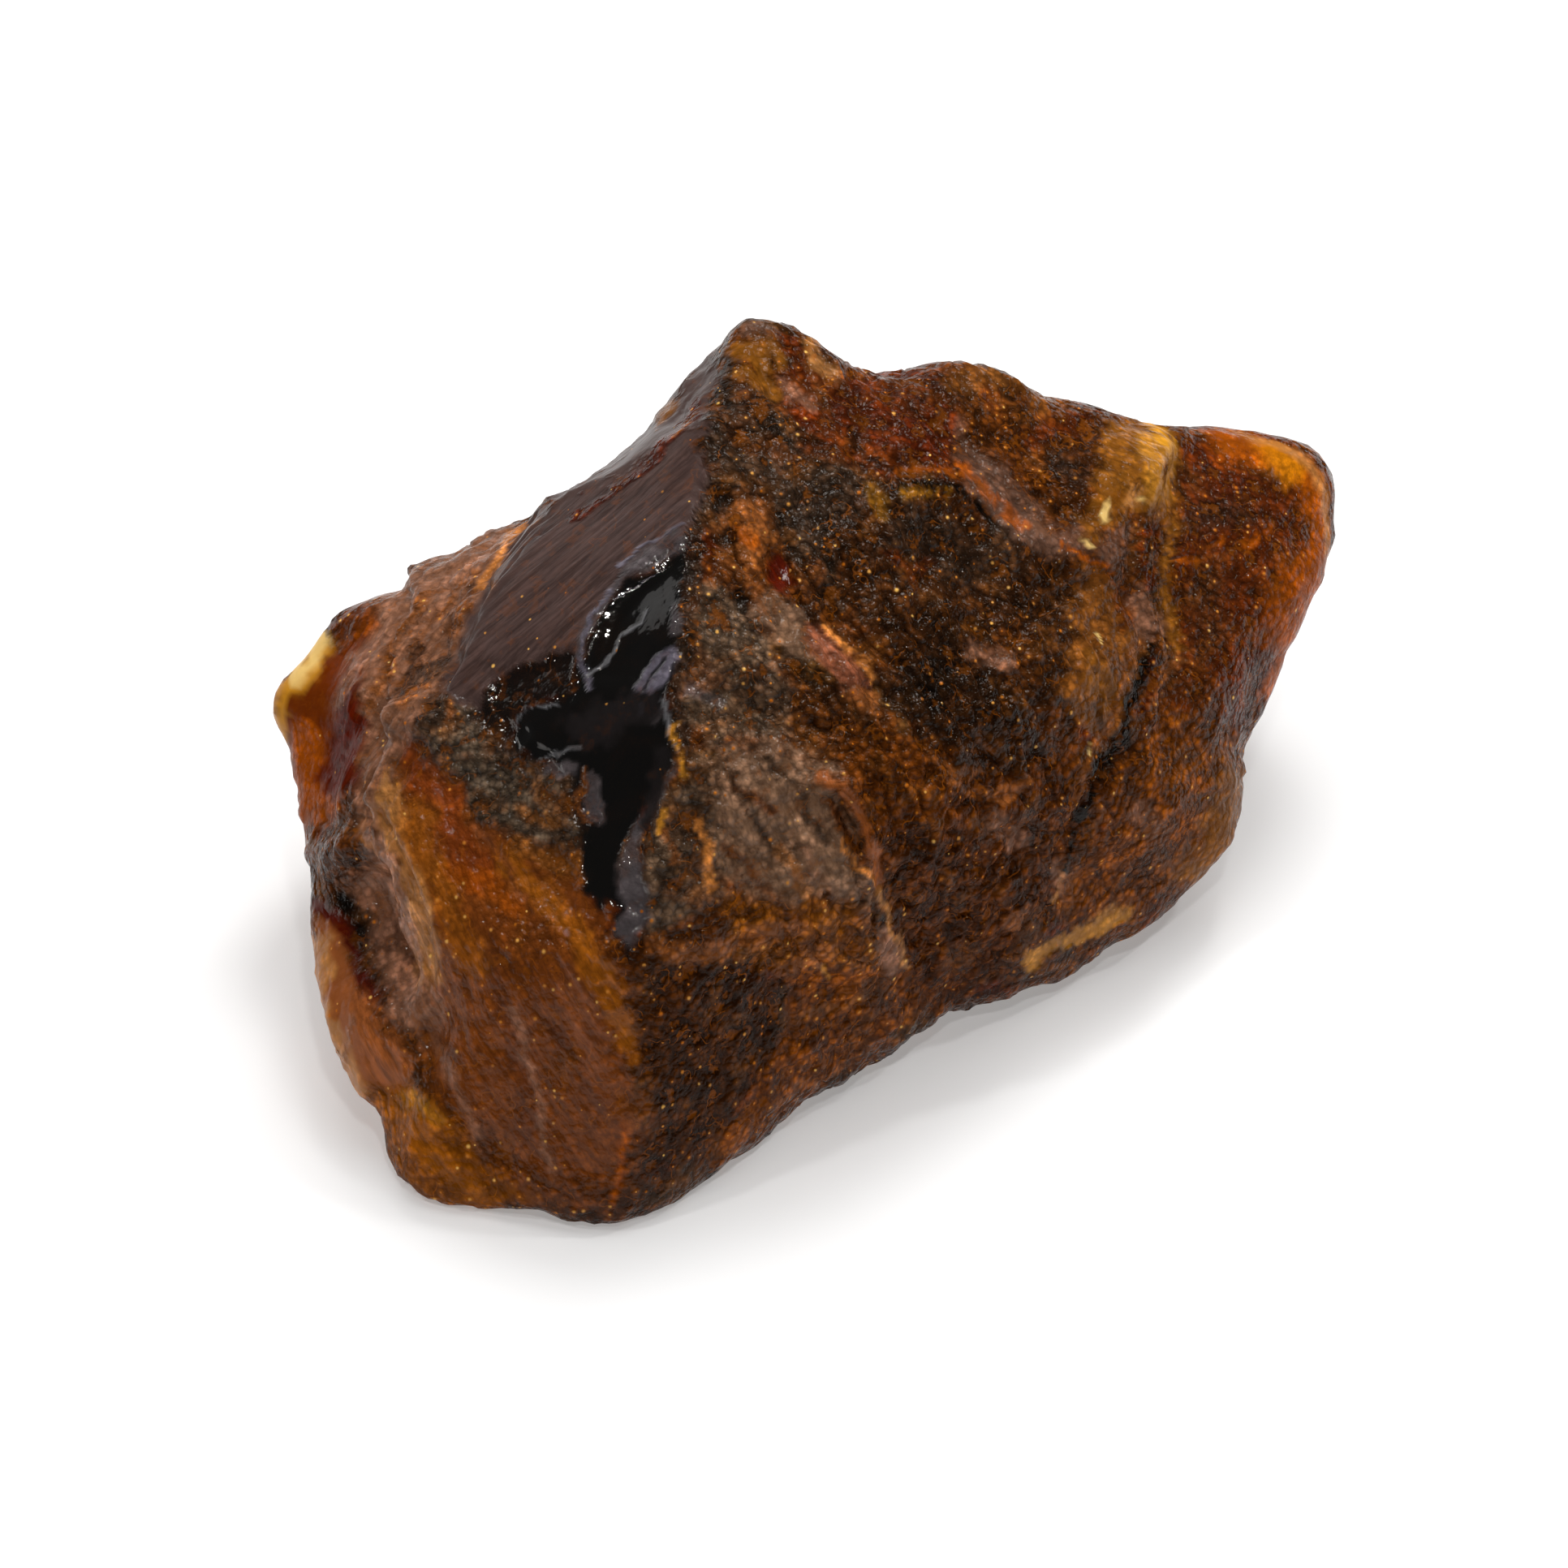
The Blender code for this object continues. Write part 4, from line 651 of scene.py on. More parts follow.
    "spot_orange_2": ("orange_crust", 0.25, 0.8, [(-6.9, -3.1), (-6.5, -4.7)]),
    "spot_gold": ("gold", 0.2, 0.9, [(-7.4, -1.7), (-7.3, -3.2)]),
    "foot_band": ("orange_crust", 0.65, 0.85, [
        (-7.7, -9.7), (-6, -10.5), (-3.8, -10.3), (-1.6, -9.8), (0.9, -8.8)
    ]),
    "foot_band_hot": ("orange_crust", 0.3, 0.7, [(-6.5, -10.7), (-4.3, -11)]),
    "foot_band_right": ("orange_crust", 0.45, 0.6, [(-0.3, -11.7), (2.2, -11.2), (2.7, -9.9)]),
    "foot_gold": ("gold", 0.25, 0.7, [(2.5, -11.4), (2.7, -11.9)]),
    "low_gold": ("olive_ochre", 0.3, 0.5, [(1.2, -14.7), (2.7, -14.1), (4.7, -13.4)]),
    "low_edge": ("orange_crust", 0.3, 0.4, [(-3.3, -22.4), (-0.8, -20.2), (2.2, -18.2), (5.7, -16.2)]),
    "waxy_red": ("red_brown", 1, 0.85, [(-22.7, 1.8), (-21.6, -0.5), (-20.1, -3.2), (-18.8, -5.2)]),
    "waxy_tan": ("waxy_tan", 0.7, 0.65, [
        (-24.4, -0.5), (-23.7, -3.2), (-22.9, -6.5), (-22.2, -9.2), (-21.6, -11.7)
    ]),
    "waxy_tan_low": ("waxy_rose", 0.4, 0.5, [(-21.6, -11.7), (-21.1, -13.7), (-20.5, -15.7)]),
    "waxy_ochre": ("waxy_ochre", 0.85, 0.85, [
        (-16.8, -4.8), (-14.4, -7), (-12, -9.4), (-11, -12.2), (-9.8, -15.2)
    ]),
    "waxy_ochre_low": ("waxy_ochre", 0.4, 0.6, [(-9.8, -15.2), (-9.3, -16.7)]),
    "waxy_ochre_top": ("olive_ochre", 0.5, 0.7, [(-16.3, -3.7), (-14.3, -4.8), (-13, -4.8)]),
    "waxy_orange": ("amber_orange", 0.6, 0.5, [(-20.3, -5.2), (-18.3, -5.7), (-16.3, -7.7)]),
    "waxy_dark_1": ("waxy_dark", 0.7, 0.6, [(-18.3, -10.7), (-16.3, -16.2), (-15.8, -21.7)]),
    "waxy_dark_2": ("waxy_dark", 0.6, 0.6, [(-12.8, -11.7), (-11.8, -16.2), (-11.3, -20.2)]),
    "waxy_spots": ("waxy_dark", 0.5, 0.7, [(-14.2, -14.8), (-13.3, -16.3)]),
    "waxy_rose": ("waxy_rose", 0.9, 0.7, [(-13.1, -11.9), (-11.9, -15.2), (-11.1, -17.9)]),
    "waxy_film_1": ("mauve_film_and_sheen", 0.25, 0.55, [
        (-16.8, -13.7), (-15.8, -17.2), (-14.9, -20.2), (-14, -24.2)
    ]),
    "waxy_film_2": ("mauve_film_and_sheen", 0.35, 0.55, [
        (-22.7, -12.4), (-21.3, -15.4), (-20.1, -18.4), (-18.3, -23.2)
    ]),
    "waxy_rim": ("waxy_tan", 0.3, 0.8, [(-24.8, 0.1), (-25.1, -1.9), (-24.5, -3.5)]),
    "waxy_line": ("waxy_rose", 0.25, 0.7, [(-18.8, -2.7), (-17.3, -4.5), (-15.8, -7)]),
    "waxy_foot": ("chestnut", 0.8, 0.7, [(-18.3, -22.7), (-14.3, -24.7), (-11.3, -25.4)]),
    "waxy_foot_orange": ("amber_orange", 0.3, 0.6, [(-9.9, -21.2), (-9.6, -23.2), (-10.6, -25.2)]),
    "crevice_red": ("deep_red", 0.45, 0.95, [(-28.4, -7.3), (-27.3, -9.3), (-26, -11.3), (-25, -13.1)]),
    "crevice_hot": ("red_amber", 0.3, 0.9, [(-28.9, -7.1), (-28.3, -8.2), (-27.5, -9.3)]),
    "pane_edge": ("waxy_tan", 0.5, 0.8, [(-28.9, -9.7), (-28.5, -12.9), (-27.4, -16.4), (-26.1, -18.9)]),
    "pane_line": ("mauve_film_and_sheen", 0.15, 0.6, [(-26.2, -14.2), (-26.8, -15.4), (-27.1, -17.2)]),
    "lobe_honey": ("waxy_ochre", 0.7, 0.8, [(-23.3, -20.9), (-21.1, -23.7), (-18.6, -25.2)]),
    "lobe_moss": ("yellow_moss", 0.3, 0.8, [(-23.1, -19.2), (-22.1, -20.3)]),
    "ash_gold": ("olive_ochre", 0.5, 0.6, [(-16.3, -1.7), (-14.3, -2.5)]),
    "ash_gold_top": ("orange_crust", 0.25, 0.7, [(-20.6, 4.9), (-20.2, 4.3)]),
    # The strokes from here to the right rim are painted reflections and highlights of the lamps on the dark
    # break: bands along its edges, patches, bright lines on chips and a faint haze.
    "sheen_streak": ("painted_blue_reflection", 0.12, 0.9, [(-10.4, 13.4), (-9.1, 14.3), (-7.6, 15.2), (-6.4, 16.3)]),
    "sheen_patch": ("slate", 0.4, 0.6, [(-9.6, 13.3), (-8.3, 14), (-6.8, 15.6)]),
    "edge_band_1": ("slate", 0.3, 0.9, [
        (-6.3, 14.8), (-8, 13.8), (-9.8, 12.8), (-11, 11.1), (-11.8, 9.6), (-12.4, 8.5)
    ]),
    "edge_band_2": ("painted_blue_reflection", 0.15, 0.9, [(-10.7, 11.7), (-11.4, 10.7), (-11.9, 9.5), (-12.1, 8.7)]),
    "edge_band_3": ("painted_blue_reflection", 0.15, 0.8, [(-12.2, 8.3), (-11.6, 7), (-11.7, 6)]),
    "patch_low": ("painted_blue_reflection", 0.2, 0.9, [(-9, 5), (-8.8, 4.4)]),
    "patch_low_2": ("slate", 0.2, 0.8, [(-8.1, 3.8), (-7.4, 4.7)]),
    "patch_up": ("slate", 0.3, 0.8, [(-6.7, 10.9), (-6.4, 10.1), (-6.7, 9.3)]),
    "chip_line_1": ("pale_slate", 0.1, 0.8, [(-11.6, 7), (-10.4, 8.3), (-9.5, 9.8), (-8.6, 10.6)]),
    "chip_line_3": ("pale_slate", 0.1, 0.7, [(-16.3, 3), (-15.3, 4.3), (-13.8, 4.9)]),
    "chip_line_4": ("pale_slate", 0.1, 0.7, [(-15.1, 1.6), (-13.8, 2), (-13.2, 2.4)]),
    "middle_haze": ("haze", 1.1, 0.9, [(-12.6, 3.3), (-10.3, 4.3), (-8.3, 4.9)]),
    "low_haze": ("haze", 0.6, 0.9, [(-7.7, 1.8), (-8.1, -0.2), (-8.6, -2.7)]),
    "right_rim": ("pale_slate", 0.2, 1.0, [(-7.2, 5.4), (-6.8, 3.8), (-6.4, 2)]),
    "bead_1": ("gold", 0.2, 1.0, [(-6.6, 3.8), (-6.4, 2.5), (-6.2, 1.3), (-6.2, 0.3)]),
    "bead_2": ("gold", 0.2, 1.0, [(-7.3, -2.2), (-7.4, -3.2)]),
    "bevel_orange": ("orange_crust", 0.12, 0.9, [(-5.8, 22.6), (-6.4, 21.8), (-7, 21.2)]),
    # A painted highlight along the rim of the glassy break.
    "sheen_rim_painted_highlight": ("tan_crust", 0.2, 0.8, [(-18.4, 12.4), (-17.8, 13.6), (-17.1, 14.9), (-15.8, 16.1)]),
    # The black stroke is painted shade in the crack, and the orange one after it painted light on its lit
    # edge.
    "right_seam": ("pitch", 0.3, 1.0, [(22.9, 8.8), (21.7, 5.8), (20.1, 2), (18.4, -1.9), (17.3, -5.5)]),
    "right_seam_lit": ("orange_crust", 0.25, 0.8, [(22.1, 9), (20.9, 6.1), (19.3, 2.4), (17.6, -1.6)]),
    "tall_rim": ("orange_crust", 0.2, 0.7, [(-12.5, 0.8), (-12.9, -0.9), (-12.5, -2.3)]),
    "patch_gap_1": ("black_glass", 0.15, 0.9, [(-8.5, 6.1), (-8, 7), (-7.4, 7.7)]),
    "patch_gap_2": ("black_glass", 0.15, 0.8, [(-7, 6.4), (-6.8, 7.3)]),
    "shoulder_streak_1": ("soot", 0.25, 0.6, [(-3, 0.3), (-1.8, -2.2), (-0.1, -4.7)]),
    "shoulder_streak_2": ("soot", 0.25, 0.6, [(-1.1, 1.8), (0.9, -0.9), (2.5, -3.7)]),
    "shoulder_streak_3": ("chestnut", 0.25, 0.6, [(-3.3, -3.7), (-1.3, -6.2), (0.9, -8.2)]),
    # These five dots are painted glints: small white highlights on the right of the stone.
    "painted_glint_1": ("cream", 0.12, 0.9, [(21.5, 17.9), (21.7, 17.4)]),
    "painted_glint_2": ("cream", 0.12, 0.9, [(19.7, 17), (20.1, 16.7)]),
    "painted_glint_3": ("cream", 0.12, 0.9, [(18.6, 15.4), (19.1, 15)]),
    "painted_glint_4": ("cream", 0.12, 0.9, [(18.9, 2.7), (19.1, 2.2)]),
    "painted_glint_5": ("cream", 0.12, 0.9, [(19.4, 9), (19.6, 8.6)]),
    # This black stroke is painted shade in a hollow.
    "low_hollow": ("pitch", 0.6, 0.7, [(11.2, 1.3), (13.4, 0.8), (15.2, 1.1)]),
    "low_hollow_rim": ("orange_crust", 0.25, 0.8, [(10.1, -0.1), (11.7, -0.9), (13.9, -0.9), (15.7, 0.1)]),
    # This black stroke is painted shade in the pocket.
    "pocket_black": ("pitch", 0.9, 0.6, [(9.2, 9.8), (10.2, 8.3), (9.9, 6.3)]),
    "pocket_film": ("mauve_film_and_sheen", 0.6, 0.45, [(11.9, 8.3), (13.7, 7.7)]),
    "waxy_glow": ("waxy_ochre", 1, 0.5, [(-23.1, -1.9), (-21.7, -4.7), (-20.3, -8.2), (-19.1, -11.2)]),
    "lip_light": ("mauve_film_and_sheen", 0.2, 0.8, [
        (-25.2, -0.8), (-24.8, -4.2), (-23.3, -7.7), (-22.2, -10.7), (-20.9, -14.6)
    ]),
    "lobe_gold": ("gold", 0.6, 0.5, [(-23.4, -19.6), (-22.2, -20.1), (-21.6, -20.9)]),
}

# ---------------------------------------------------------------------------------------------------
# What is kept for each point: red, green and blue, and then these amounts, from this column on.
AMOUNTS = ("crumbly", "resin", "rough", "polish")
CRUMBLY = 3

# Where there is no coat, crust changes by large lumps: its first finish, and then each next one with the
# values of the lumps between which it grows to its full cover.
GROUND_FINISH = "umber"
GROUND = (
    ("chestnut", -0.05, 0.2), ("dark_umber", 0.05, 0.3), ("olive_umber", 0.1, 0.3), ("rust", 0.15, 0.4),
)

# How large the first of those lumps are, and the size and share of the smaller ones on their edge.
GROUND_SIZE = 9.0
GROUND_EDGE = (2.5, 0.4)

# Stains that lumps lay over crust, before the strokes: finish, size across and strength.
STAINS = (
    ("chestnut", 4.0, 0.5), ("dark_umber", 3.2, 0.5), ("olive_ochre", 2.4, 0.3), ("pitch", 2.0, 0.35),
)

# The values of the lumps between which a stain grows, and the size, as a share of theirs, and the share
# of the smaller ones on their edge.
STAIN_RISE = (0.12, 0.34)
STAIN_EDGE = (0.4, 0.5)

# How borders wander and fray: the size of the lumps, and how far they move it or how hard they fray it.
WANDER = ((3.5, 1.1), (1.3, 0.55), (0.6, 0.25))
FRAY = ((1.1, 4.0), (0.55, 3.0))

# How far from its path a stroke is gone and is full, in its half widths.
STROKE_FADE = (1.5, 0.4)

# The streaks of the drawn grain: length and width in millimetres. Crust shows this much less of them.
STREAK = (4.0, 0.4)
CRUST_HIDES = 0.8

# The first seed of each kind of lumps, far enough apart for the sizes of one kind to follow each other.
SEEDS = {
    "lumps": 0, "grain": 20, "crumbs": 30, "wander": 40, "ground": 60, "ground_edge": 70, "fray": 80,
    "stains": 90, "stain_edge": 95,
}

# How far a direction has to lie out from the front, and back, to belong to the front and the far side.
FRONT_RISE = (-0.45, -0.33)
REAR_RISE = (0.2, 0.45)

# Over which share of its length a ledge and a seam rise at each end.
LEDGE_ENDS = (0.0, 0.15)
SEAM_ENDS = (-0.1, 0.2)

# How softly a smooth break and a region of drawn grain end, and the half width of a furrow, as a value
# of the lumps that draw it.
BREAK_EDGE = 0.5
DRAWN_EDGE = 1.0
FURROW = 0.07

# The rings of the round patch that wear averages over: share of its radius, points and weight. Near the
# pole, which is where a direction's height is over this, east is taken from another axis.
WEAR_RINGS = ((0.5, 6, 0.8), (1.0, 12, 0.4))
NEAR_POLE = 0.9

# How many turns move the corners out, how much of what one lacks each turn adds, and the most that it
# adds in millimetres.
CORNER_TURNS = 5
CORNER_GAIN = 0.8
CORNER_MOST = 1.0

# How many directions are taken at once, so that their table stays small.
AT_ONCE = 4096

# How far the skin stays inside the solid's box.
BOX_GAP = 0.01

# The skin's grid: squares across, up and out, the block that the grid is first drawn on, and how much
# it crowds towards the front.
SQUARES = (148, 132, 104)
BLOCK = (34.0, 27.0, 22.0)
CROWDING = 0.3

# The whole numbers that scramble a lattice cell and a seed, with the low bits that are kept.
CELL_TIMES = np.array([73856093, 19349663, 83492791])
SEED_TIMES = 2654435
SCRAMBLE_TIMES = 1103515245
SCRAMBLE_PLUS = 12345
SCRAMBLE_SHIFT = 13
LOW_31_BITS = 0x7FFFFFFF
LOW_16_BITS = 0xFFFF


def placed(across, up, out):
    """A place on the leaning front, turned upright: across, back and up from the table."""
    nearness = 1.0 - out / STATION
    across, up = across * nearness, up * nearness
    back = up * math.sin(LEAN) - out * math.cos(LEAN)
    return (across, back, FACE_HEIGHT + up * math.cos(LEAN) + out * math.sin(LEAN))


def sighted(points):
    """The reverse of placed: where upright points lie across and up, seen from the station."""
    raised = points - np.array([0.0, 0.0, FACE_HEIGHT])
    nearness = 1.0 - raised @ OUTWARDS / STATION
    return np.column_stack([raised @ ACROSS, raised @ UPWARDS]) / nearness[:, None]


def smooth_step(low, high, value):
    """0 up to low, 1 from high, and between them three times the square less twice the cube."""
    share = np.clip((value - low) / (high - low), 0.0, 1.0)
    return share * share * (3.0 - 2.0 * share)


def unit(vectors):
    """The vectors over their lengths."""
    return vectors / np.linalg.norm(vectors, axis=1, keepdims=True)


def corner_chains():
    """Every chain of corners, upright."""
    chains = {name: [placed(*corner) for corner in chain] for name, chain in FRONT_CORNERS.items()}
    chains.update(REAR_CORNERS)
    return {name: np.array(chain, float) for name, chain in chains.items()}


def facet_corners(arms):
    """Which three corners each facet joins: the hull of the corners' directions."""
    hull = bmesh.new()
    for arm in arms:
        hull.verts.new(Vector(arm).normalized())
    hull.verts.index_update()
    bmesh.ops.convex_hull(hull, input=hull.verts)
    triples = np.array([[vertex.index for vertex in face.verts] for face in hull.faces])
    hull.free()
    return triples


def facet_reach(directions, facets):
    """How far the flat facets lie from CENTRE along each direction.

    A direction is a sum of the three arms of a facet. The facet that it passes through is the one whose
    least share is greatest, and its reach is one over the sum of the shares.
    """
    shares_of = np.linalg.inv(facets.transpose(0, 2, 1))
    reach = np.empty(len(directions))
    for part in np.array_split(np.arange(len(directions)), 1 + len(directions) // AT_ONCE):
        shares = np.einsum("fij,nj->nfi", shares_of, directions[part])
        within = np.argmax(shares.min(axis=2), axis=1)
        reach[part] = 1.0 / shares[np.arange(len(part)), within].sum(axis=1)
    return reach


def along_path(points, path):
    """(distance, side, share of the way along) of each point; the side is 1 to the right of the path.

    Each stretch of the path takes the points that are nearer to it than to the stretches before it. The
    nearest place on a stretch is the offset's part along it, kept between its two ends.
    """
    path = np.array(path, float)
    steps = np.diff(path, axis=0)
    runs = np.linalg.norm(steps, axis=1)
    starts = np.cumsum(runs) - runs
    distance = np.full(len(points), np.inf)
    side = np.ones(len(points))
    along = np.zeros(len(points))
    for start, step, run, before in zip(path[:-1], steps, runs, starts):
        offset = points - start
        share = np.clip(offset @ step / run**2, 0.0, 1.0)
        gap = np.linalg.norm(offset - share[:, None] * step, axis=1)
        nearer = gap < distance
        distance[nearer] = gap[nearer]
        along[nearer] = (before + share[nearer] * run) / runs.sum()
        if path.shape[1] == 2:
            side[nearer] = np.sign(step[1] * offset[nearer, 0] - step[0] * offset[nearer, 1])
    return distance, side, along


def worn_reach(directions, facets, ridges):
    """The facets' reach averaged over a small round patch, which shrinks on a sharp ridge.

    The patch is a middle and rings of points round it. Its radius grows from SHARP on a ridge to WORN
    at RIDGE_WIDTH from it.
    """
    flat = facet_reach(directions, facets)
    skin = CENTRE + directions * flat[:, None]
    to_ridge = np.min([along_path(skin, ridge)[0] for ridge in ridges], axis=0)
    patch = SHARP + (WORN - SHARP) * smooth_step(0.0, RIDGE_WIDTH, to_ridge)
    spread = (patch / flat)[:, None]
    near_pole = np.abs(directions[:, 2:]) >= NEAR_POLE
    east = unit(np.cross(np.where(near_pole, [[1.0, 0.0, 0.0]], [[0.0, 0.0, 1.0]]), directions))
    north = np.cross(directions, east)
    total, weight = flat.copy(), 1.0
    for ring, count, share in WEAR_RINGS:
        for turn in range(count):
            angle = math.tau * (turn + ring) / count
            aside = directions + spread * ring * (math.cos(angle) * east + math.sin(angle) * north)
            total += share * facet_reach(unit(aside), facets)
            weight += share
    return total / weight


def lattice_slopes(cells, seed):
    """Three numbers from -1 to 1 for each cell of a lattice, the same for the same cell and seed.

    The cell's three places and the seed, each times its own whole number, are added up. Then, three times
    over, the sum is scrambled and its low bits are read.
    """
    mixed = (cells * CELL_TIMES).sum(axis=1) + seed * SEED_TIMES
    found = []
    for turn in (1, 2, 3):
        mixed = (mixed * SCRAMBLE_TIMES + SCRAMBLE_PLUS * turn) & LOW_31_BITS
        mixed ^= mixed >> SCRAMBLE_SHIFT
        found.append((mixed & LOW_16_BITS) / (0.5 * LOW_16_BITS) - 1.0)
    return np.column_stack(found)


def lumps(points, size, seed):
    """Smooth lumps about size apart, from -1 to 1: a slope at each lattice corner, blended between.

    The blend is six times the fifth power less fifteen times the fourth and ten times the third.
    """
    place = points / size
    cell = np.floor(place).astype(np.int64)
    within = place - cell
    blend = within**3 * (within * (within * 6.0 - 15.0) + 10.0)
    total = np.zeros(len(points))
    for corner in itertools.product((0, 1), repeat=3):
        weight = np.prod(np.where(corner, blend, 1.0 - blend), axis=1)
        slope = lattice_slopes(cell + np.array(corner), seed)
        total += weight * ((within - np.array(corner)) * slope).sum(axis=1)
    return total


def drawn_out(points, angle, length, width):
    """The points along, across and out of a grain that lies in the front at that angle, in its lengths
    and widths."""
    turn = math.radians(angle)
    along = math.cos(turn) * ACROSS + math.sin(turn) * UPWARDS
    aside = math.cos(turn) * UPWARDS - math.sin(turn) * ACROSS
    return np.column_stack([points @ along / length, points @ aside / width, points @ OUTWARDS / width])


def inside_share(points, outline, soft):
    """1 inside a closed outline, 0 outside, blended over soft at its edge.

    A point is inside where a line from it to the right crosses the outline an odd number of times. Only
    points within twice soft of the outline's own box are looked at.
    """
    ends = np.array(outline + outline[:1], float)
    margin = 2.0 * soft
    near = np.all((points > ends.min(axis=0) - margin) & (points < ends.max(axis=0) + margin), axis=1)
    found = np.zeros(len(points))
    points = points[near]
    within = np.zeros(len(points), bool)
    for (x0, y0), (x1, y1) in zip(ends[:-1], ends[1:]):
        spans = (y0 > points[:, 1]) != (y1 > points[:, 1])
        rise = np.where(spans, y1 - y0, 1.0)
        within ^= spans & (points[:, 0] < x0 + (points[:, 1] - y0) * (x1 - x0) / rise)
    depth = along_path(points, ends)[0] * np.where(within, 1.0, -1.0)
    found[near] = smooth_step(-soft, soft, depth)
    return found


def both_ends(along, rise):
    """1 in the middle of a path, falling off towards both its ends."""
    return smooth_step(*rise, along) * smooth_step(*rise, 1.0 - along)


def relief(places, ledges, seams, hollows):
    """What the ledges, seams and hollows of one side add to the skin, in millimetres outwards.

    Each takes away its height or depth times a bell: e to the minus square of distance over width. A
    ledge does so on its low side alone.
    """
    added = np.zeros(len(places))
    for path, height, reach in ledges.values():
        distance, side, along = along_path(places, path)
        low = smooth_step(-LEDGE_FALL, LEDGE_FALL, distance * side)
        added -= height * low * both_ends(along, LEDGE_ENDS) * np.exp(-((distance / reach) ** 2))
    for path, depth, width in seams.values():
        distance, _, along = along_path(places, path)
        added -= depth * both_ends(along, SEAM_ENDS) * np.exp(-((distance / width) ** 2))
    for place, radius, depth in hollows.values():
        distance = np.linalg.norm(places - np.array(place), axis=1)
        added -= depth * np.exp(-((distance / radius) ** 2))
    return added


def fine_relief(skin, front, facing, crumbly):
    """The finer relief: drawn grain with sharp furrows, and crumbs with sharp hollows.

    A furrow runs where the drawn lumps pass through 0, and falls off with their square. A crumb is the
    size of the lumps without their sign, so that its hollows are sharp and its top is round.
    """
    added = np.zeros(len(skin))
    for seed, (outline, angle, length, width, height, furrow) in enumerate(DRAWN.values(), SEEDS["grain"]):
        share = facing * inside_share(front, outline, DRAWN_EDGE)
        grain = lumps(drawn_out(skin, angle, length, width), 1.0, seed)
        added += share * (height * grain - furrow * np.exp(-((grain / FURROW) ** 2)))
    for seed, (size, height) in enumerate(CRUMBS, SEEDS["crumbs"]):
        added += crumbly * height * (CRUMB_RISE * np.abs(lumps(skin, size, seed)) - CRUMB_SINK)
    return added


def smooth_share(front, facing):
    """1 on a smooth break, 0 on crust."""
    shares = [inside_share(front, outline, BREAK_EDGE) for outline in SMOOTH_BREAKS.values()]
    return facing * np.max(shares, axis=0)


def side_shares(directions):
    """(facing, rear): how far each direction belongs to the front and to the far side."""
    facing = smooth_step(*FRONT_RISE, directions @ OUTWARDS)
    return facing, smooth_step(*REAR_RISE, directions[:, 1]) * (1.0 - facing)


def carved_reach(directions, facets, ridges):
    """How far the skin lies from CENTRE along each direction, once worn, lumpy and carved: the worn
    reach, plus the relief of the front and of the far side, plus the lumps."""
    reach = worn_reach(directions, facets, ridges)
    skin = CENTRE + directions * reach[:, None]
    front = sighted(skin)
    facing, rear = side_shares(directions)
    reach += facing * relief(front, FRONT_LEDGES, FRONT_SEAMS, FRONT_HOLLOWS)
    reach += rear * relief(skin[:, ::2], REAR_LEDGES, REAR_SEAMS, REAR_HOLLOWS)
    smooth = smooth_share(front, facing)
    for seed, (size, on_crust, on_break) in enumerate(LUMPS, SEEDS["lumps"]):
        reach += (on_crust + (on_break - on_crust) * smooth) * lumps(skin, size, seed)
    return reach


def crumbled_reach(directions, facets, ridges):
    """The carved reach plus the finer relief, which the solid leaves out."""
    reach = carved_reach(directions, facets, ridges)
    skin = CENTRE + directions * reach[:, None]
    front = sighted(skin)
    facing, _ = side_shares(directions)
    return reach + fine_relief(skin, front, facing, 1.0 - smooth_share(front, facing))


def skin_points(directions):
    """The finished skin along each direction from CENTRE, in millimetres, upright, cut off at the table.

    Wear takes the corners back, so the facets are first moved out, in a few turns, until the carved skin
    passes through the named corners again.
    """
    chains = corner_chains()
    ridges = [chains[name] for name in SHARP_CHAINS]
    arms = np.concatenate(list(chains.values())) - CENTRE
    length = np.linalg.norm(arms, axis=1)
    arms /= length[:, None]
    triples = facet_corners(arms)
    proud = length.copy()
    for _ in range(CORNER_TURNS):
        short = length - carved_reach(arms, (arms * proud[:, None])[triples], ridges)
        proud += CORNER_GAIN * np.clip(short, -CORNER_MOST, CORNER_MOST)
    facets = (arms * proud[:, None])[triples]
    points = CENTRE + directions * crumbled_reach(directions, facets, ridges)[:, None]
    points[:, 2] = np.maximum(points[:, 2], 0.0)
    return points


def block_grid(counts):
    """The lattice points on the outside of a block, from -1 to 1 each way, and the squares between them.

    On each of the six sides two of the three places run over the lattice and the third stays at its first
    or last value. A point shared by two or three sides is kept once.
    """
    lattices, squares, start = [], [], 0
    for axis, end in itertools.product(range(3), (0, 1)):
        first, second = (axis + 1) % 3, (axis + 2) % 3
        row, column = np.mgrid[:counts[first] + 1, :counts[second] + 1]
        points = np.zeros((*row.shape, 3), int)
        points[..., first] = row
        points[..., second] = column
        points[..., axis] = end * counts[axis]
        index = start + np.arange(row.size).reshape(row.shape)
        square = np.stack([index[:-1, :-1], index[1:, :-1], index[1:, 1:], index[:-1, 1:]], axis=-1)
        squares.append((square if end else square[..., ::-1]).reshape(-1, 4))
        lattices.append(points.reshape(-1, 3))
        start += row.size
    lattice, once = np.unique(np.concatenate(lattices), axis=0, return_inverse=True)
    return lattice * 2.0 / np.array(counts) - 1.0, once.reshape(-1)[np.concatenate(squares)]


def grid_directions():
    """A direction for each point of the skin's grid, and the grid's squares.

    The block's even lattice is spread by the tangent, so that its squares keep an even angle, turned to
    the leaning front, and drawn towards the front by adding CROWDING times the way out.
    """
    lattice, squares = block_grid(SQUARES)
    spread = np.tan(lattice * math.pi / 4) * np.array(BLOCK)
    directions = unit(spread @ np.array([ACROSS, UPWARDS, OUTWARDS]))
    return unit(directions + CROWDING * OUTWARDS), squares


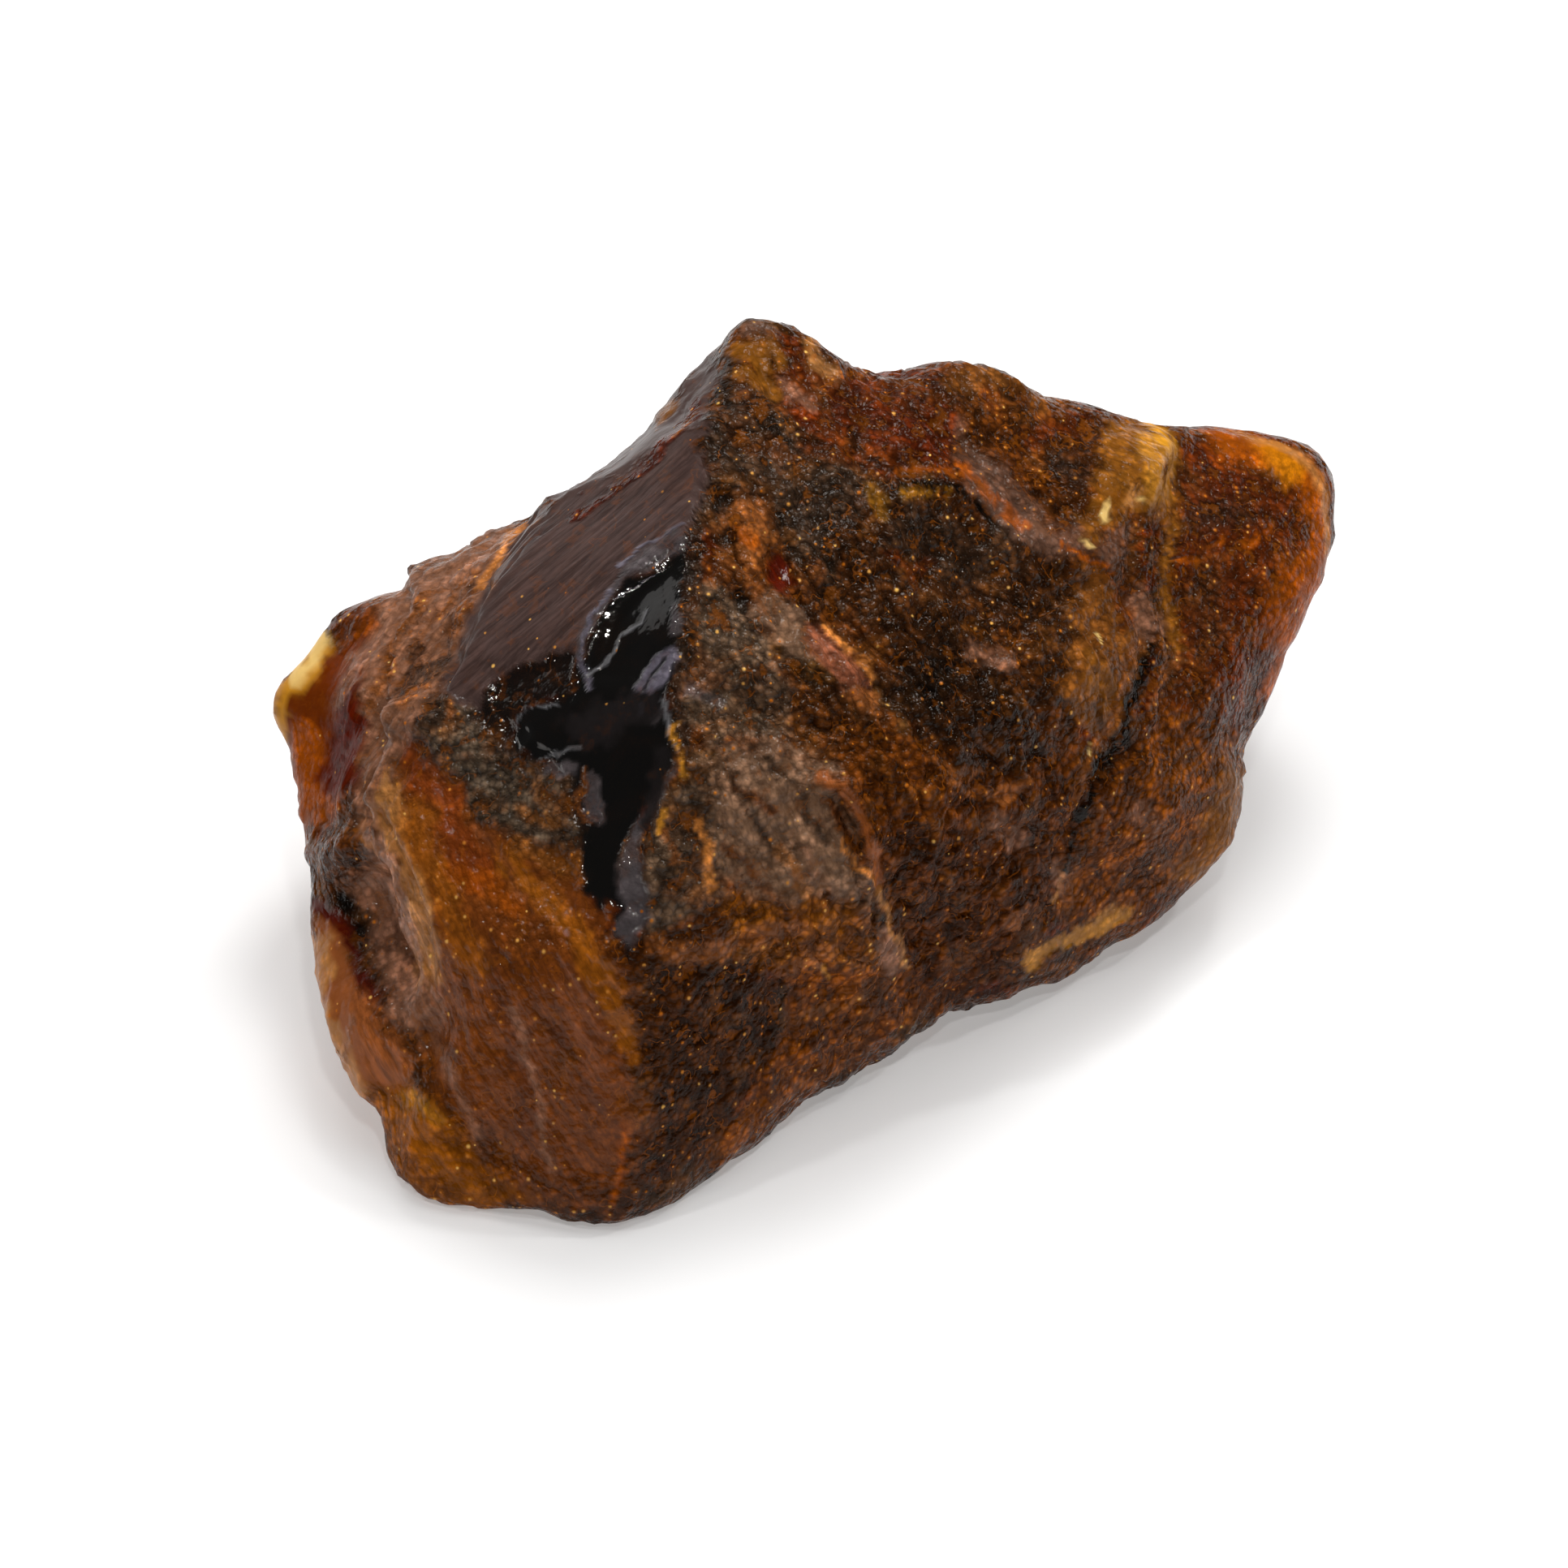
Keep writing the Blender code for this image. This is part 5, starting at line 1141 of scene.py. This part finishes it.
def linear(colour):
    """An sRGB hex colour as linear red, green and blue.

    A value up to 0.04045 is divided by 12.92. Above it, 0.055 is added, the sum is divided by 1.055 and
    raised to the power 2.4.
    """
    values = np.array([int(colour[place:place + 2], 16) for place in (1, 3, 5)]) / 255.0
    return np.where(values <= 0.04045, values / 12.92, ((values + 0.055) / 1.055) ** 2.4)


def opaque(colour):
    """An sRGB hex colour as linear red, green and blue with nothing seen through it."""
    return (*linear(colour), 1.0)


def wandered(places, skin):
    """The places moved aside by lumps of a few sizes, so that a straight border wanders."""
    moved = places.copy()
    for turn, (size, amount) in enumerate(WANDER):
        for way in (0, 1):
            moved[:, way] += amount * lumps(skin, size, SEEDS["wander"] + 2 * turn + way)
    return moved


def frayed(share, fray):
    """A cover whose half-covered edge is pushed in and out by the fray, where both 0 and 1 stay put."""
    return np.clip(share + fray * share * (1.0 - share), 0.0, 1.0)


def painted(skin, directions, finishes):
    """Each point's colour, and then its amounts in the order of AMOUNTS: one column for each value.

    It starts from crust whose finish changes with large lumps. The coats, the stains and then the strokes
    are laid over it, each by its cover times what its finish differs from what lies there. Small lumps
    fray their edges.
    """
    facing, rear = side_shares(directions)
    front, back = wandered(sighted(skin), skin), wandered(skin[:, ::2], skin)
    value = np.tile(finishes[GROUND_FINISH], (len(skin), 1))

    def lay(name, cover):
        value[:] += cover[:, None] * (finishes[name] - value)

    edge_size, edge = GROUND_EDGE
    for turn, (name, *rise) in enumerate(GROUND):
        broad = lumps(skin, GROUND_SIZE - turn, SEEDS["ground"] + turn)
        lay(name, smooth_step(*rise, broad + edge * lumps(skin, edge_size, SEEDS["ground_edge"] + turn)))
    fray = sum(amount * lumps(skin, size, seed) for seed, (size, amount) in enumerate(FRAY, SEEDS["fray"]))
    for side, places, coats in ((facing, front, FRONT_COATS), (rear, back, REAR_COATS)):
        for name, soft, outline in coats.values():
            lay(name, side * frayed(inside_share(places, outline, soft), fray))
    edge_size, edge = STAIN_EDGE
    for turn, (name, size, strength) in enumerate(STAINS):
        broad = lumps(skin, size, SEEDS["stains"] + turn)
        fine = lumps(skin, edge_size * size, SEEDS["stain_edge"] + turn)
        lay(name, strength * value[:, CRUMBLY] * smooth_step(*STAIN_RISE, broad + edge * fine))
    for name, width, strength, path in FRONT_STROKES.values():
        outer, inner = STROKE_FADE
        share = smooth_step(outer * width, inner * width, along_path(front, path)[0])
        lay(name, facing * strength * frayed(share, fray))
    return value


def grained(skin, directions, crumbly):
    """Where each point lies along, across and out of the drawn grain, in streaks, and how strong that is.

    The strength falls to 0 at the edge of each region, so the turn from one angle to the next is hidden.
    """
    facing, _ = side_shares(directions)
    front = sighted(skin)
    place, strength = skin / STREAK[1], np.zeros(len(skin))
    for outline, angle, *_ in DRAWN.values():
        share = facing * inside_share(front, outline, DRAWN_EDGE)
        inside = share > 0.5
        place[inside] = drawn_out(skin, angle, *STREAK)[inside]
        strength = np.where(inside, 2.0 * share - 1.0, strength * (1.0 - 2.0 * share))
    return place, strength * (1.0 - CRUST_HIDES * crumbly)


def new_object(name, points, faces):
    """A mesh object with those points, in metres, and faces, in the scene."""
    mesh = bpy.data.meshes.new(name)
    mesh.from_pydata(points.tolist(), [], faces.tolist())
    mesh.update()
    made = bpy.data.objects.new(name, mesh)
    bpy.context.scene.collection.objects.link(made)
    return made


def fitted(points):
    """(scale, shift) that makes the skin fill the box of the CAD solid, a hair inside it."""
    low, high = (np.array(corner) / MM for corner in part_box("amber"))
    low, high = low + BOX_GAP, high - BOX_GAP
    start, end = points.min(axis=0), points.max(axis=0)
    scale = (high - low) / (end - start)
    return scale, low - start * scale


def add(tree, kind, settings=None, inputs=None):
    """Adds a node of that kind with its settings, and sets each input to a value, a socket, or the first
    live output of a node."""
    made = tree.nodes.new(kind)
    for name, value in (settings or {}).items():
        setattr(made, name, value)
    for name, value in (inputs or {}).items():
        socket = next(socket for socket in made.inputs if socket.identifier == name)
        if isinstance(value, bpy.types.Node):
            value = next(socket for socket in value.outputs if socket.enabled)
        if isinstance(value, bpy.types.NodeSocket):
            tree.links.new(value, socket)
        else:
            socket.default_value = value
    return made


def scale_of(size_mm):
    """The Scale of a pattern in Object coordinates, in metres, whose cells are that many millimetres."""
    return 1.0 / (size_mm * MM)


# ---------------------------------------------------------------------------------------------------
# The material. What the mesh tells it at each point, and which output of the attribute it reads.
ATTRIBUTES = {
    "tint": "Color", "grain": "Vector", "drawn": "Fac", "crumbly": "Fac", "resin": "Fac", "rough": "Fac",
    "polish": "Fac",
}

# Noise: the size of a lump in millimetres, how many finer turns are added and how strong each is to the
# one before. Streaks take their size from the drawn grain.
NOISES = {"clods": (1.4, 3.5, 0.6), "patches": (3.0, 2.0, 0.6), "winding": (4.0, 3.0, 0.55)}
STREAK_NOISE = {"Scale": 1.0, "Detail": 3.0, "Roughness": 0.65}
GRAIN_SIZE = 0.55

# How a pattern becomes an amount: the values that it runs from, and the amounts that it runs to.
SPANS = {
    name: dict(zip(("From Min", "From Max", "To Min", "To Max"), values)) for name, values in {
        "patches": (0.3, 0.7, 0.65, 1.4),
        # The next two spans paint light where clods rise, and shade in their hollows and in each crease
        # between grains.
        "painted_light_on_tops": (0.35, 0.65, 0.35, 1.75),
        "painted_shade_in_creases": (0.25, 0.65, 1.15, 0.45),
        "bands": (0.3, 0.7, 0.6, 1.45),
        "lines": (0.008, 0.002, 0.0, 0.6),
        "low": (0.56, 0.42, 0.0, 1.0),
        "lowest": (0.44, 0.34, 0.0, 0.45),
        "between": (0.2, 0.5, 0.0, 1.0),
        "sizes": (0.0, 1.0, 0.12, 0.36),
        "clear": (0.1, 0.8, 0.06, 0.5),
    }.items()
}
SMOOTH = {"interpolation_type": "SMOOTHSTEP"}
EVEN = {"interpolation_type": "LINEAR"}
TIMES = {"operation": "MULTIPLY"}

# Noise winds round this value, and a line is drawn where it passes it.
HALFWAY = 0.5

# Bare resin, and its flecks from the darkest to the palest: dark orange specks, and pale ones that are
# painted glints.
# At most this share of the grains has one, which is full up to this distance from its middle, in grains.
BARE_RESIN = "#BC6410"
DARK_FLECK = "#C46A14"
PALE_FLECK_GLINT = "#FFC868"
FLECK_CHANCE = 0.55
FLECK_CORE = 0.06

# How high the finest relief stands, in millimetres.
CLOD_HEIGHT = 0.6
GRAIN_HEIGHT = 0.19
STREAK_HEIGHT = 0.06

# Amber bends light this much. Inside, it takes up this colour's opposite, this often in a metre.
AMBER_IOR = 1.54
DEPTH_COLOUR = "#F3D450"
DEPTH_DENSITY = 900.0

# What lies under the polish hardly reflects, in this colour, and the polish is this rough.
BODY_TINT = "#CBBCAA"
BODY_LEVEL = 0.02
POLISH_ROUGHNESS = 0.05


def raw_amber():
    """Raw amber: fossil resin under a thin weathered crust, broken open on some sides.

    The fresh breaks give sharp reflections and show dark depths. The crust is crumbly and looks wet, with
    gold and orange resin in its hollows. Light passes the breaks and hardly passes the crust.
    """
    material = bpy.data.materials.new("raw_amber_crust_and_break")
    material.use_nodes = True
    tree = material.node_tree
    tree.nodes.clear()
    output = add(tree, "ShaderNodeOutputMaterial")
    coords = add(tree, "ShaderNodeTexCoord").outputs["Object"]
    tint, grain, drawn, crumbly, resin, rough, polish = (
        add(tree, "ShaderNodeAttribute", {"attribute_name": name}).outputs[kind]
        for name, kind in ATTRIBUTES.items()
    )

    # Clods down to dust, broad patches, winding lines, small grains, and streaks along the drawn grain.
    clods, patches, winding = (
        add(tree, "ShaderNodeTexNoise", None, {
            "Vector": coords, "Scale": scale_of(size), "Detail": detail, "Roughness": roughness})
        for size, detail, roughness in NOISES.values()
    )
    cells = add(tree, "ShaderNodeTexVoronoi", None, {"Vector": coords, "Scale": scale_of(GRAIN_SIZE)})
    streaks = add(tree, "ShaderNodeTexNoise", None, {"Vector": grain, **STREAK_NOISE})

    # Crust is darker or lighter in patches. Light and shade are painted on it too: paler where its clods
    # rise, darker in their hollows and dark in each crease between its grains.
    # Streaks vary a little.
    broad = add(tree, "ShaderNodeMapRange", SMOOTH, {"Value": patches, **SPANS["patches"]})
    painted_light_on_tops = add(tree, "ShaderNodeMapRange", SMOOTH, {"Value": clods, **SPANS["painted_light_on_tops"]})
    dapple_and_painted_shade = add(tree, "ShaderNodeMath", TIMES, {"Value": broad, "Value_001": painted_light_on_tops})
    painted_shade_in_creases = add(tree, "ShaderNodeMapRange", SMOOTH, {"Value": cells, **SPANS["painted_shade_in_creases"]})
    dapple_and_painted_shade = add(tree, "ShaderNodeMath", TIMES, {"Value": dapple_and_painted_shade, "Value_001": painted_shade_in_creases})
    depth = add(tree, "ShaderNodeMix", {"data_type": "FLOAT"}, {
        "Factor_Float": crumbly, "A_Float": 1.0, "B_Float": dapple_and_painted_shade})
    bands = add(tree, "ShaderNodeMapRange", SMOOTH, {"Value": streaks, **SPANS["bands"]})
    veil = add(tree, "ShaderNodeMix", {"data_type": "FLOAT"}, {
        "Factor_Float": drawn, "A_Float": 1.0, "B_Float": bands})
    depth = add(tree, "ShaderNodeMath", TIMES, {"Value": depth, "Value_001": veil})
    shade = add(tree, "ShaderNodeVectorMath", {"operation": "SCALE"}, {"Vector": tint, "Scale": depth})

    # Bare resin glows orange in the hollows between the clods, and along winding lines.
    offset = add(tree, "ShaderNodeMath", {"operation": "SUBTRACT"}, {"Value": winding, "Value_001": HALFWAY})
    offset = add(tree, "ShaderNodeMath", {"operation": "ABSOLUTE"}, {"Value": offset})
    lines = add(tree, "ShaderNodeMapRange", SMOOTH, {"Value": offset, **SPANS["lines"]})
    low = add(tree, "ShaderNodeMapRange", SMOOTH, {"Value": clods, **SPANS["low"]})
    lines = add(tree, "ShaderNodeMath", TIMES, {"Value": lines, "Value_001": low})
    lowest = add(tree, "ShaderNodeMapRange", SMOOTH, {"Value": clods, **SPANS["lowest"]})
    between = add(tree, "ShaderNodeMapRange", SMOOTH, {"Value": cells, **SPANS["between"]})
    hollows = add(tree, "ShaderNodeMath", TIMES, {"Value": lowest, "Value_001": between})
    bare = add(tree, "ShaderNodeMath", {"operation": "MAXIMUM"}, {"Value": lines, "Value_001": hollows})
    bare = add(tree, "ShaderNodeMath", TIMES, {"Value": bare, "Value_001": resin})
    shade = add(tree, "ShaderNodeMix", {"data_type": "RGBA"}, {
        "Factor_Float": bare, "A_Color": shade, "B_Color": opaque(BARE_RESIN)})

    # Flecks of gold: dots about 0.2 mm wide in the middle of some grains, most of them dark; the pale ones
    # are painted glints.
    lots = add(tree, "ShaderNodeSeparateColor", None, {"Color": cells.outputs["Color"]}).outputs
    chance = add(tree, "ShaderNodeMath", TIMES, {"Value": resin, "Value_001": FLECK_CHANCE})
    chosen = add(tree, "ShaderNodeMath", {"operation": "LESS_THAN"}, {
        "Value": lots["Red"], "Value_001": chance})
    size = add(tree, "ShaderNodeMapRange", EVEN, {"Value": lots["Blue"], **SPANS["sizes"]})
    dots = add(tree, "ShaderNodeMapRange", SMOOTH, {
        "Value": cells, "From Min": size, "From Max": FLECK_CORE})
    fleck_and_glint = add(tree, "ShaderNodeMath", TIMES, {"Value": dots, "Value_001": chosen})
    pale = add(tree, "ShaderNodeMath", {"operation": "POWER"}, {"Value": lots["Green"], "Value_001": 2.0})
    gold = add(tree, "ShaderNodeMix", {"data_type": "RGBA"}, {
        "Factor_Float": pale, "A_Color": opaque(DARK_FLECK), "B_Color": opaque(PALE_FLECK_GLINT)})
    colour = add(tree, "ShaderNodeMix", {"data_type": "RGBA"}, {
        "Factor_Float": fleck_and_glint, "A_Color": shade, "B_Color": gold})

    # The relief that is too fine for the mesh. Clods and grains stand on crust alone, and streaks on both.
    height = add(tree, "ShaderNodeMath", TIMES, {"Value": clods, "Value_001": CLOD_HEIGHT})
    pits = add(tree, "ShaderNodeMath", TIMES, {"Value": cells, "Value_001": GRAIN_HEIGHT})
    height = add(tree, "ShaderNodeMath", {"operation": "SUBTRACT"}, {"Value": height, "Value_001": pits})
    height = add(tree, "ShaderNodeMath", TIMES, {"Value": height, "Value_001": crumbly})
    ribs = add(tree, "ShaderNodeMath", TIMES, {"Value": streaks, "Value_001": drawn})
    height = add(tree, "ShaderNodeMath", {"operation": "MULTIPLY_ADD"}, {
        "Value": ribs, "Value_001": STREAK_HEIGHT, "Value_002": height})
    bump = add(tree, "ShaderNodeBump", None, {"Height": height, "Strength": 1.0, "Distance": MM})

    # A polished break lets half the light in, and waxy skin and crust almost none.
    clear = add(tree, "ShaderNodeMapRange", EVEN, {"Value": polish, **SPANS["clear"]})
    skin = add(tree, "ShaderNodeBsdfPrincipled", None, {
        "Base Color": colour, "Roughness": rough, "Normal": bump, "IOR": AMBER_IOR,
        "Transmission Weight": clear, "Specular IOR Level": BODY_LEVEL, "Specular Tint": opaque(BODY_TINT),
        "Coat Weight": polish, "Coat Roughness": POLISH_ROUGHNESS, "Coat IOR": AMBER_IOR,
        "Coat Normal": bump})
    depths = add(tree, "ShaderNodeVolumeAbsorption", None, {
        "Color": opaque(DEPTH_COLOUR), "Density": DEPTH_DENSITY})
    tree.links.new(skin.outputs["BSDF"], output.inputs["Surface"])
    tree.links.new(depths.outputs["Volume"], output.inputs["Volume"])
    return material


class AmberColours(bpy.types.PropertyGroup):
    """The colours of the stone's finishes."""


for key, (colour, *_, about) in FINISHES.items():
    AmberColours.__annotations__[key] = FloatVectorProperty(
        name=key.replace("_", " ").capitalize(), description=about, subtype="COLOR", size=3,
        min=0.0, max=1.0, default=tuple(linear(colour)),
    )


class StudioSettings(bpy.types.PropertyGroup):
    """The floor and the camera."""

    floor_size: FloatProperty(
        name="Floor size", description="Side of the floor", default=4.0, min=0.1, unit="LENGTH",
    )
    lens: FloatProperty(
        name="Lens", description="Focal length of the camera", default=135.0, min=1.0, unit="CAMERA",
    )


class AMBER_OT_stone(bpy.types.Operator):
    """Build the stone's skin with its relief, colours and material"""

    bl_idname = "amber.stone"
    bl_label = "Raw amber"

    def execute(self, context):
        colours = context.scene.amber_colours
        finishes = {
            name: np.array([*getattr(colours, name), *amounts])
            for name, (_, *amounts, _) in FINISHES.items()
        }
        directions, squares = grid_directions()
        skin = skin_points(directions)
        value = painted(skin, directions, finishes)
        tint = np.column_stack([value[:, :CRUMBLY], np.ones(len(skin))])
        grain, drawn = grained(skin, directions, value[:, CRUMBLY])
        scale, shift = fitted(skin)
        stone = new_object("raw_amber", (skin * scale + shift) * MM, squares)
        mesh = stone.data
        mesh.shade_smooth()
        told = [("tint", "FLOAT_COLOR", "color", tint), ("grain", "FLOAT_VECTOR", "vector", grain)]
        told.append(("drawn", "FLOAT", "value", drawn))
        for column, name in enumerate(AMOUNTS, CRUMBLY):
            told.append((name, "FLOAT", "value", value[:, column]))
        for name, kind, field, values in told:
            mesh.attributes.new(name, kind, "POINT").data.foreach_set(field, values.ravel())
        mesh.materials.append(raw_amber())
        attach(stone, "root")
        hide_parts("amber")
        context.scene["amber_aim"] = list((np.array([0.0, 0.0, FACE_HEIGHT]) * scale + shift) * MM)
        return {"FINISHED"}


def softbox(name, aim, azimuth, elevation, distance, sides, radiance, mirrored):
    """A lamp round the stone, turned to it: azimuth in degrees to the right of straight back, elevation,
    distance and sides in metres. Its power is its radiance times pi times its area."""
    lamp = bpy.data.lights.new(name, "AREA")
    lamp.shape = "RECTANGLE"
    lamp.size, lamp.size_y = sides
    lamp.energy = radiance * math.pi * sides[0] * sides[1]
    turn, rise = math.radians(azimuth), math.radians(elevation)
    way = Vector((math.sin(turn) * math.cos(rise), math.cos(turn) * math.cos(rise), math.sin(rise)))
    made = bpy.data.objects.new(name, lamp)
    made.location = Vector(aim) + distance * way
    made.visible_glossy = mirrored
    made.rotation_euler = (-way).to_track_quat("-Z", "Y").to_euler()
    bpy.context.scene.collection.objects.link(made)


# Azimuth, elevation, distance, sides and radiance of each lamp, and whether it shows in reflections.
LAMPS = {
    "sky_box": (13, 66, 0.7, (0.66, 0.66), 2.9, False),
    "key_box": (17, 58, 0.7, (0.2, 0.2), 15.0, True),
    "back_wall": (-27, 13, 1.0, (1.4, 0.5), 0.4, True),
    "left_spark": (-105, 58, 0.6, (0.035, 0.035), 140.0, True),
    "right_spark": (75, 52, 0.6, (0.035, 0.035), 140.0, True),
    "front_spark": (170, 62, 0.6, (0.035, 0.035), 120.0, True),
}

# The floor's paper, which glows a little, so that it stays white out to the edges of the picture.
PAPER = {
    "Base Color": opaque("#D7D7D7"), "Roughness": 0.9, "Emission Color": opaque("#FFFCFA"),
    "Emission Strength": 0.31,
}

# How far the floor lies under the stone, in millimetres, and how strong the air's own light is.
FLOOR_GAP = 0.1
AIR_LIGHT = 0.07

# The camera's sensor in millimetres, and the nearest thing that it sees, in metres.
SENSOR = 36.0
NEAREST = 0.01


class AMBER_OT_studio(bpy.types.Operator):
    """Lay the pale floor and set up the soft lights and the camera"""

    bl_idname = "amber.studio"
    bl_label = "Studio"

    def execute(self, context):
        scene = context.scene
        settings = scene.amber_studio
        aim = Vector(scene["amber_aim"])
        half, low = settings.floor_size / 2, -FLOOR_GAP * MM
        corners = np.array([(-half, -half, low), (half, -half, low), (half, half, low), (-half, half, low)])
        floor = new_object("studio_floor", corners, np.array([[0, 1, 2, 3]]))
        paper = bpy.data.materials.new("white_paper")
        paper.use_nodes = True
        for name, value in PAPER.items():
            paper.node_tree.nodes["Principled BSDF"].inputs[name].default_value = value
        floor.data.materials.append(paper)
        for name, lamp in LAMPS.items():
            softbox(name, aim, *lamp)
        world = bpy.data.worlds.new("studio_air")
        world.use_nodes = True
        air = world.node_tree.nodes["Background"]
        air.inputs["Color"].default_value = (1.0, 1.0, 1.0, 1.0)
        air.inputs["Strength"].default_value = AIR_LIGHT
        scene.world = world
        scene.view_settings.view_transform = "Standard"
        camera = bpy.data.cameras.new("camera")
        camera.lens = settings.lens
        camera.sensor_width = SENSOR
        camera.clip_start = NEAREST
        seat = bpy.data.objects.new("camera", camera)
        seat.location = aim + Vector(OUTWARDS) * STATION * MM
        seat.rotation_euler = (aim - seat.location).to_track_quat("-Z", "Y").to_euler()
        scene.collection.objects.link(seat)
        scene.camera = seat
        return {"FINISHED"}


class AMBER_PT_panel(bpy.types.Panel):
    """Lists the stone's operators and colours in the sidebar"""

    bl_idname = "AMBER_PT_panel"
    bl_label = "Raw amber"
    bl_space_type = "VIEW_3D"
    bl_region_type = "UI"
    bl_category = "Amber"

    def draw(self, context):
        layout = self.layout
        layout.operator(AMBER_OT_stone.bl_idname)
        layout.operator(AMBER_OT_studio.bl_idname)
        for name in FINISHES:
            layout.prop(context.scene.amber_colours, name)
        for name in StudioSettings.__annotations__:
            layout.prop(context.scene.amber_studio, name)


CLASSES = (AmberColours, StudioSettings, AMBER_OT_stone, AMBER_OT_studio, AMBER_PT_panel)


def register():
    """Registers the classes and hangs their settings on the scene."""
    for made in CLASSES:
        bpy.utils.register_class(made)
    bpy.types.Scene.amber_colours = PointerProperty(type=AmberColours)
    bpy.types.Scene.amber_studio = PointerProperty(type=StudioSettings)


def unregister():
    """Takes the settings and the classes away again."""
    del bpy.types.Scene.amber_studio
    del bpy.types.Scene.amber_colours
    for made in reversed(CLASSES):
        bpy.utils.unregister_class(made)


def main():
    """Builds the stone and its studio."""
    register()
    bpy.ops.amber.stone()
    bpy.ops.amber.studio()


if __name__ == "__main__":
    main()
